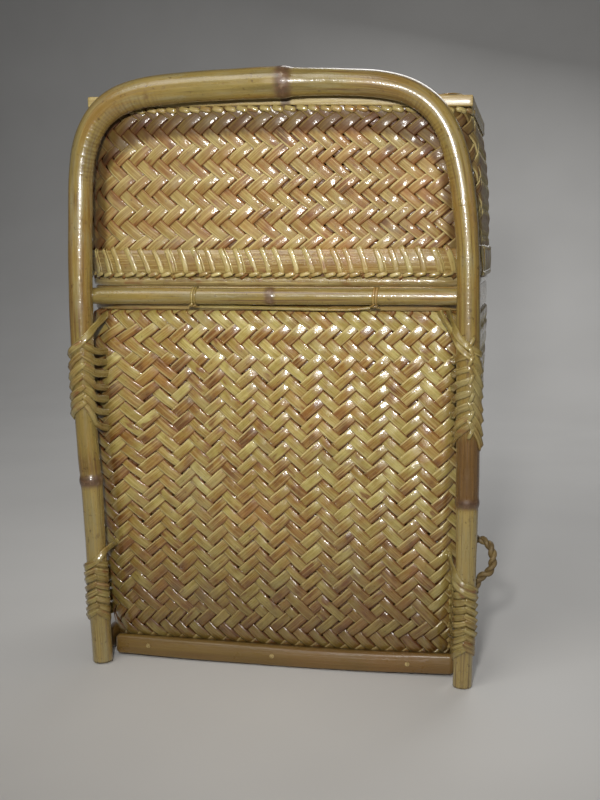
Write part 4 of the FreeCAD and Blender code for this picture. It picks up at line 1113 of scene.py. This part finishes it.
# ---------------------------------------------------------------- flat slats
def flat_slat(name, p0, p1, out, depth, h, mat, body, nodes, n=90, bow=0.25, round_ends=True, seed=2, shape=None, end_cut=0.25, scars=()):
    """A split-bamboo slat from p0 to p1 (its bottom inner edge), h high; its outer face bulges a little along out.
    shape(x) may add (depth, bottom height, top height) along it."""
    r = np.random.default_rng(seed)
    p0, p1, out = np.array(p0, float), np.array(p1, float), np.array(out, float)
    L = np.linalg.norm(p1 - p0)
    d = (p1 - p0) / L
    e1 = min(3.0, L * 0.1)
    t = np.unique(np.concatenate([np.linspace(0, 1, n), np.linspace(0, e1 / L, 7), 1 - np.linspace(0, e1 / L, 7)]))
    n = len(t)
    prof = [(0.0, 0.0), (0.55, 0.0), (0.90, 0.04), (1.0, 0.13), (1.03, 0.5), (1.0, 0.87), (0.90, 0.96), (0.55, 1.0), (0.0, 1.0)]
    P = np.zeros((n, len(prof), 3)); S = np.zeros((n, len(prof), 3))
    ph = r.uniform(0, 6, 3)
    base = p0 + d * (t * L)[:, None]
    ex = np.zeros((n, 3)) if shape is None else np.array([shape(q[0]) for q in base])
    e = np.minimum(t, 1 - t) * L
    cut = np.clip(1 - e / e1, 0, 1) ** 2 if round_ends else np.zeros(n)
    for k, (q, v) in enumerate(prof):
        lo = ex[:, 1] + bow * 0.5 * np.sin(t * L * 0.021 + ph[0])
        hi = h + ex[:, 2] + bow * np.sin(t * L * 0.030 + ph[1])
        zz = lo + (hi - lo) * v
        zz = (zz - (lo + hi) / 2) * (1 - end_cut * cut) + (lo + hi) / 2
        dd = q * (depth + ex[:, 0]) + 0.10 * np.sin(t * L * 0.05 + ph[1]) * (1 if q > 0.5 else 0)
        dd = dd * (1 - 0.2 * cut)
        P[:, k] = base + out * dd[:, None] + np.array([0, 0, 1.0]) * zz[:, None]
        if body == "lid":
            up_, in_ = climb(P[:, k, 0], P[:, k, 2]), lean(P[:, k, 0], P[:, k, 2])
            P[:, k, 2] += up_
            P[:, k, 0] += in_
        S[:, k] = np.stack([t * L, np.full(n, v * h), np.full(n, seed)], -1)
    sc = np.zeros(n)
    for at, half in scars:
        sc = np.maximum(sc, 1 - smooth01(np.clip((np.abs(t * L - at) - half) / 1.2, 0, 1)))
    B = Build()
    B.grid(P, S, tone=0.4, lift=1.0, knot=sc[:, None], closed_u=True, caps=True)
    cr = np.cross(d, out)
    return B.obj(name, mat, body, nodes, flip=bool(cr[2] > 0))


def front_bow(x):
    xs = [q[0] for q in SLAT_FRONT]
    a = [float(np.interp(x + o, xs, [q[k] for q in SLAT_FRONT])) for k in (1, 2, 3) for o in (-22, -11, 0, 11, 22)]
    y, zb, zt = sum(a[0:5]) / 5, sum(a[5:10]) / 5, sum(a[10:15]) / 5
    return (-y - 4.0, zb - 2.0, zt - 17.3)


XW, YF, YB, T0 = 142.0, -4.0, 182.0, 1.7
Z_STRIP, H_STRIP = 414.3, 8.0
flat_slat("lid_strip_front", (-XW - T0, YF, Z_STRIP), (XW + T0, YF, Z_STRIP), (0, -1, 0), T0, H_STRIP, mat_strip_x, "lid", ("lid_top_slat_front",), seed=3, end_cut=0.06, n=200, scars=((154.5, 2.6),))
flat_slat("lid_strip_back", (-XW - T0, YB, Z_STRIP), (XW + T0, YB, Z_STRIP), (0, 1, 0), T0, H_STRIP, mat_strip_x, "lid", ("lid_top_slat_back",), seed=4, end_cut=0.06)
flat_slat("lid_strip_left", (-XW, YF, Z_STRIP), (-XW, YB, Z_STRIP), (-1, 0, 0), T0, H_STRIP, mat_strip_y, "lid", ("lid_top_slat_left",), seed=5, end_cut=0.06)
flat_slat("lid_strip_right", (XW, YF, Z_STRIP), (XW, YB, Z_STRIP), (1, 0, 0), T0, H_STRIP, mat_strip_y, "lid", ("lid_top_slat_right",), seed=6, end_cut=0.06)
flat_slat("base_slat_front", (-129.0, 2.2, 2.0), (135.0, 2.2, 2.0), (0, -1, 0), 5.9, 15.3, mat_slat_x, "basket", ("bottom_slat_front",), seed=7, bow=0.2, shape=front_bow)
flat_slat("base_slat_back", (-138.0, 168.5, 0.0), (138.0, 168.5, 0.0), (0, 1, 0), 6.4, 17.3, mat_slat_x, "basket", ("bottom_slat_back",), seed=8, bow=0.0)
flat_slat("base_slat_left", (-135.5, 8.0, 2.0), (-135.5, 166.9, 2.0), (-1, 0, 0), 6.8, 15.3, mat_slat_y, "basket", ("bottom_slat_left",), seed=9)
flat_slat("base_slat_right", (135.5, 8.0, 2.0), (135.5, 166.9, 2.0), (1, 0, 0), 6.8, 15.3, mat_slat_y, "basket", ("bottom_slat_right",), seed=10)

# CAD nodes that keep their own shape
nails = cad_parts["bottom_slat_nails"]
for sl in nails.material_slots:
    sl.material = mat_nail
if not nails.material_slots:
    nails.data.materials.append(mat_nail)


# ---------------------------------------------------------------- floor, backdrop and lights
def backdrop():
    m, nt, b = new_mat("studio_backdrop")
    n = noise(nt, objco(nt), 3.0, 3.0, 0.5)
    nt.links.new(ramp(nt, n, [(0.3, (0.60, 0.59, 0.57)), (0.7, (0.66, 0.65, 0.63))]), b.inputs["Base Color"])
    b.inputs["Roughness"].default_value = 0.75
    prof = [(-6.0, 0.0)] + [(1.2, 0.0)]
    R = 0.9
    for k in range(13):
        a = -math.pi / 2 + k * math.pi / 2 / 12
        prof.append((1.2 + R * math.cos(a), R + R * math.sin(a)))
    prof.append((1.2 + R, 5.0))
    vs, fs = [], []
    for x in (-7.0, 7.0):
        for y, z in prof:
            vs.append((x, y, z - 0.0002))
    k = len(prof)
    for i in range(k - 1):
        fs.append((i, k + i, k + i + 1, i + 1))
    me = bpy.data.meshes.new("studio_floor")
    me.from_pydata(vs, [], fs)
    me.polygons.foreach_set("use_smooth", [True] * len(me.polygons))
    me.materials.append(m)
    ob = bpy.data.objects.new("studio_floor", me)
    bpy.context.scene.collection.objects.link(ob)


backdrop()


def area(name, loc, target, size, power, color=(1, 1, 1), sy=None, spread=180):
    l = bpy.data.lights.new(name, "AREA")
    l.shape = "RECTANGLE"
    l.size = size
    l.size_y = sy or size
    l.energy = power
    l.spread = math.radians(spread)
    l.color = color
    ob = bpy.data.objects.new(name, l)
    d = Vector(target) - Vector(loc)
    ob.rotation_euler = d.to_track_quat("-Z", "Y").to_euler()
    ob.location = loc
    bpy.context.scene.collection.objects.link(ob)


area("flash", (0.13, -0.96, 0.47), (0.0, -0.08, 0.33), 0.060, 1.50, (1.0, 0.985, 0.965), spread=72)
area("key_above", (-0.25, -0.75, 1.05), (0, -0.08, 0.34), 0.55, 1.30, (1.0, 0.97, 0.92), spread=110)
area("fill_left", (-1.5, -1.0, 0.9), (0, 0, 0.35), 1.2, 1.2, (0.95, 0.97, 1.0))
area("fill_right", (1.6, -0.5, 1.0), (0, 0, 0.35), 1.0, 1.8, (0.97, 0.98, 1.0))
area("back_high", (0.3, 1.5, 1.5), (0, 0, 0.3), 1.2, 13.0)
w = bpy.data.worlds.new("world")
w.use_nodes = True
w.node_tree.nodes["Background"].inputs[0].default_value = (0.86, 0.88, 0.92, 1)
w.node_tree.nodes["Background"].inputs[1].default_value = 0.10
bpy.context.scene.world = w
bpy.context.scene.view_settings.view_transform = "Standard"
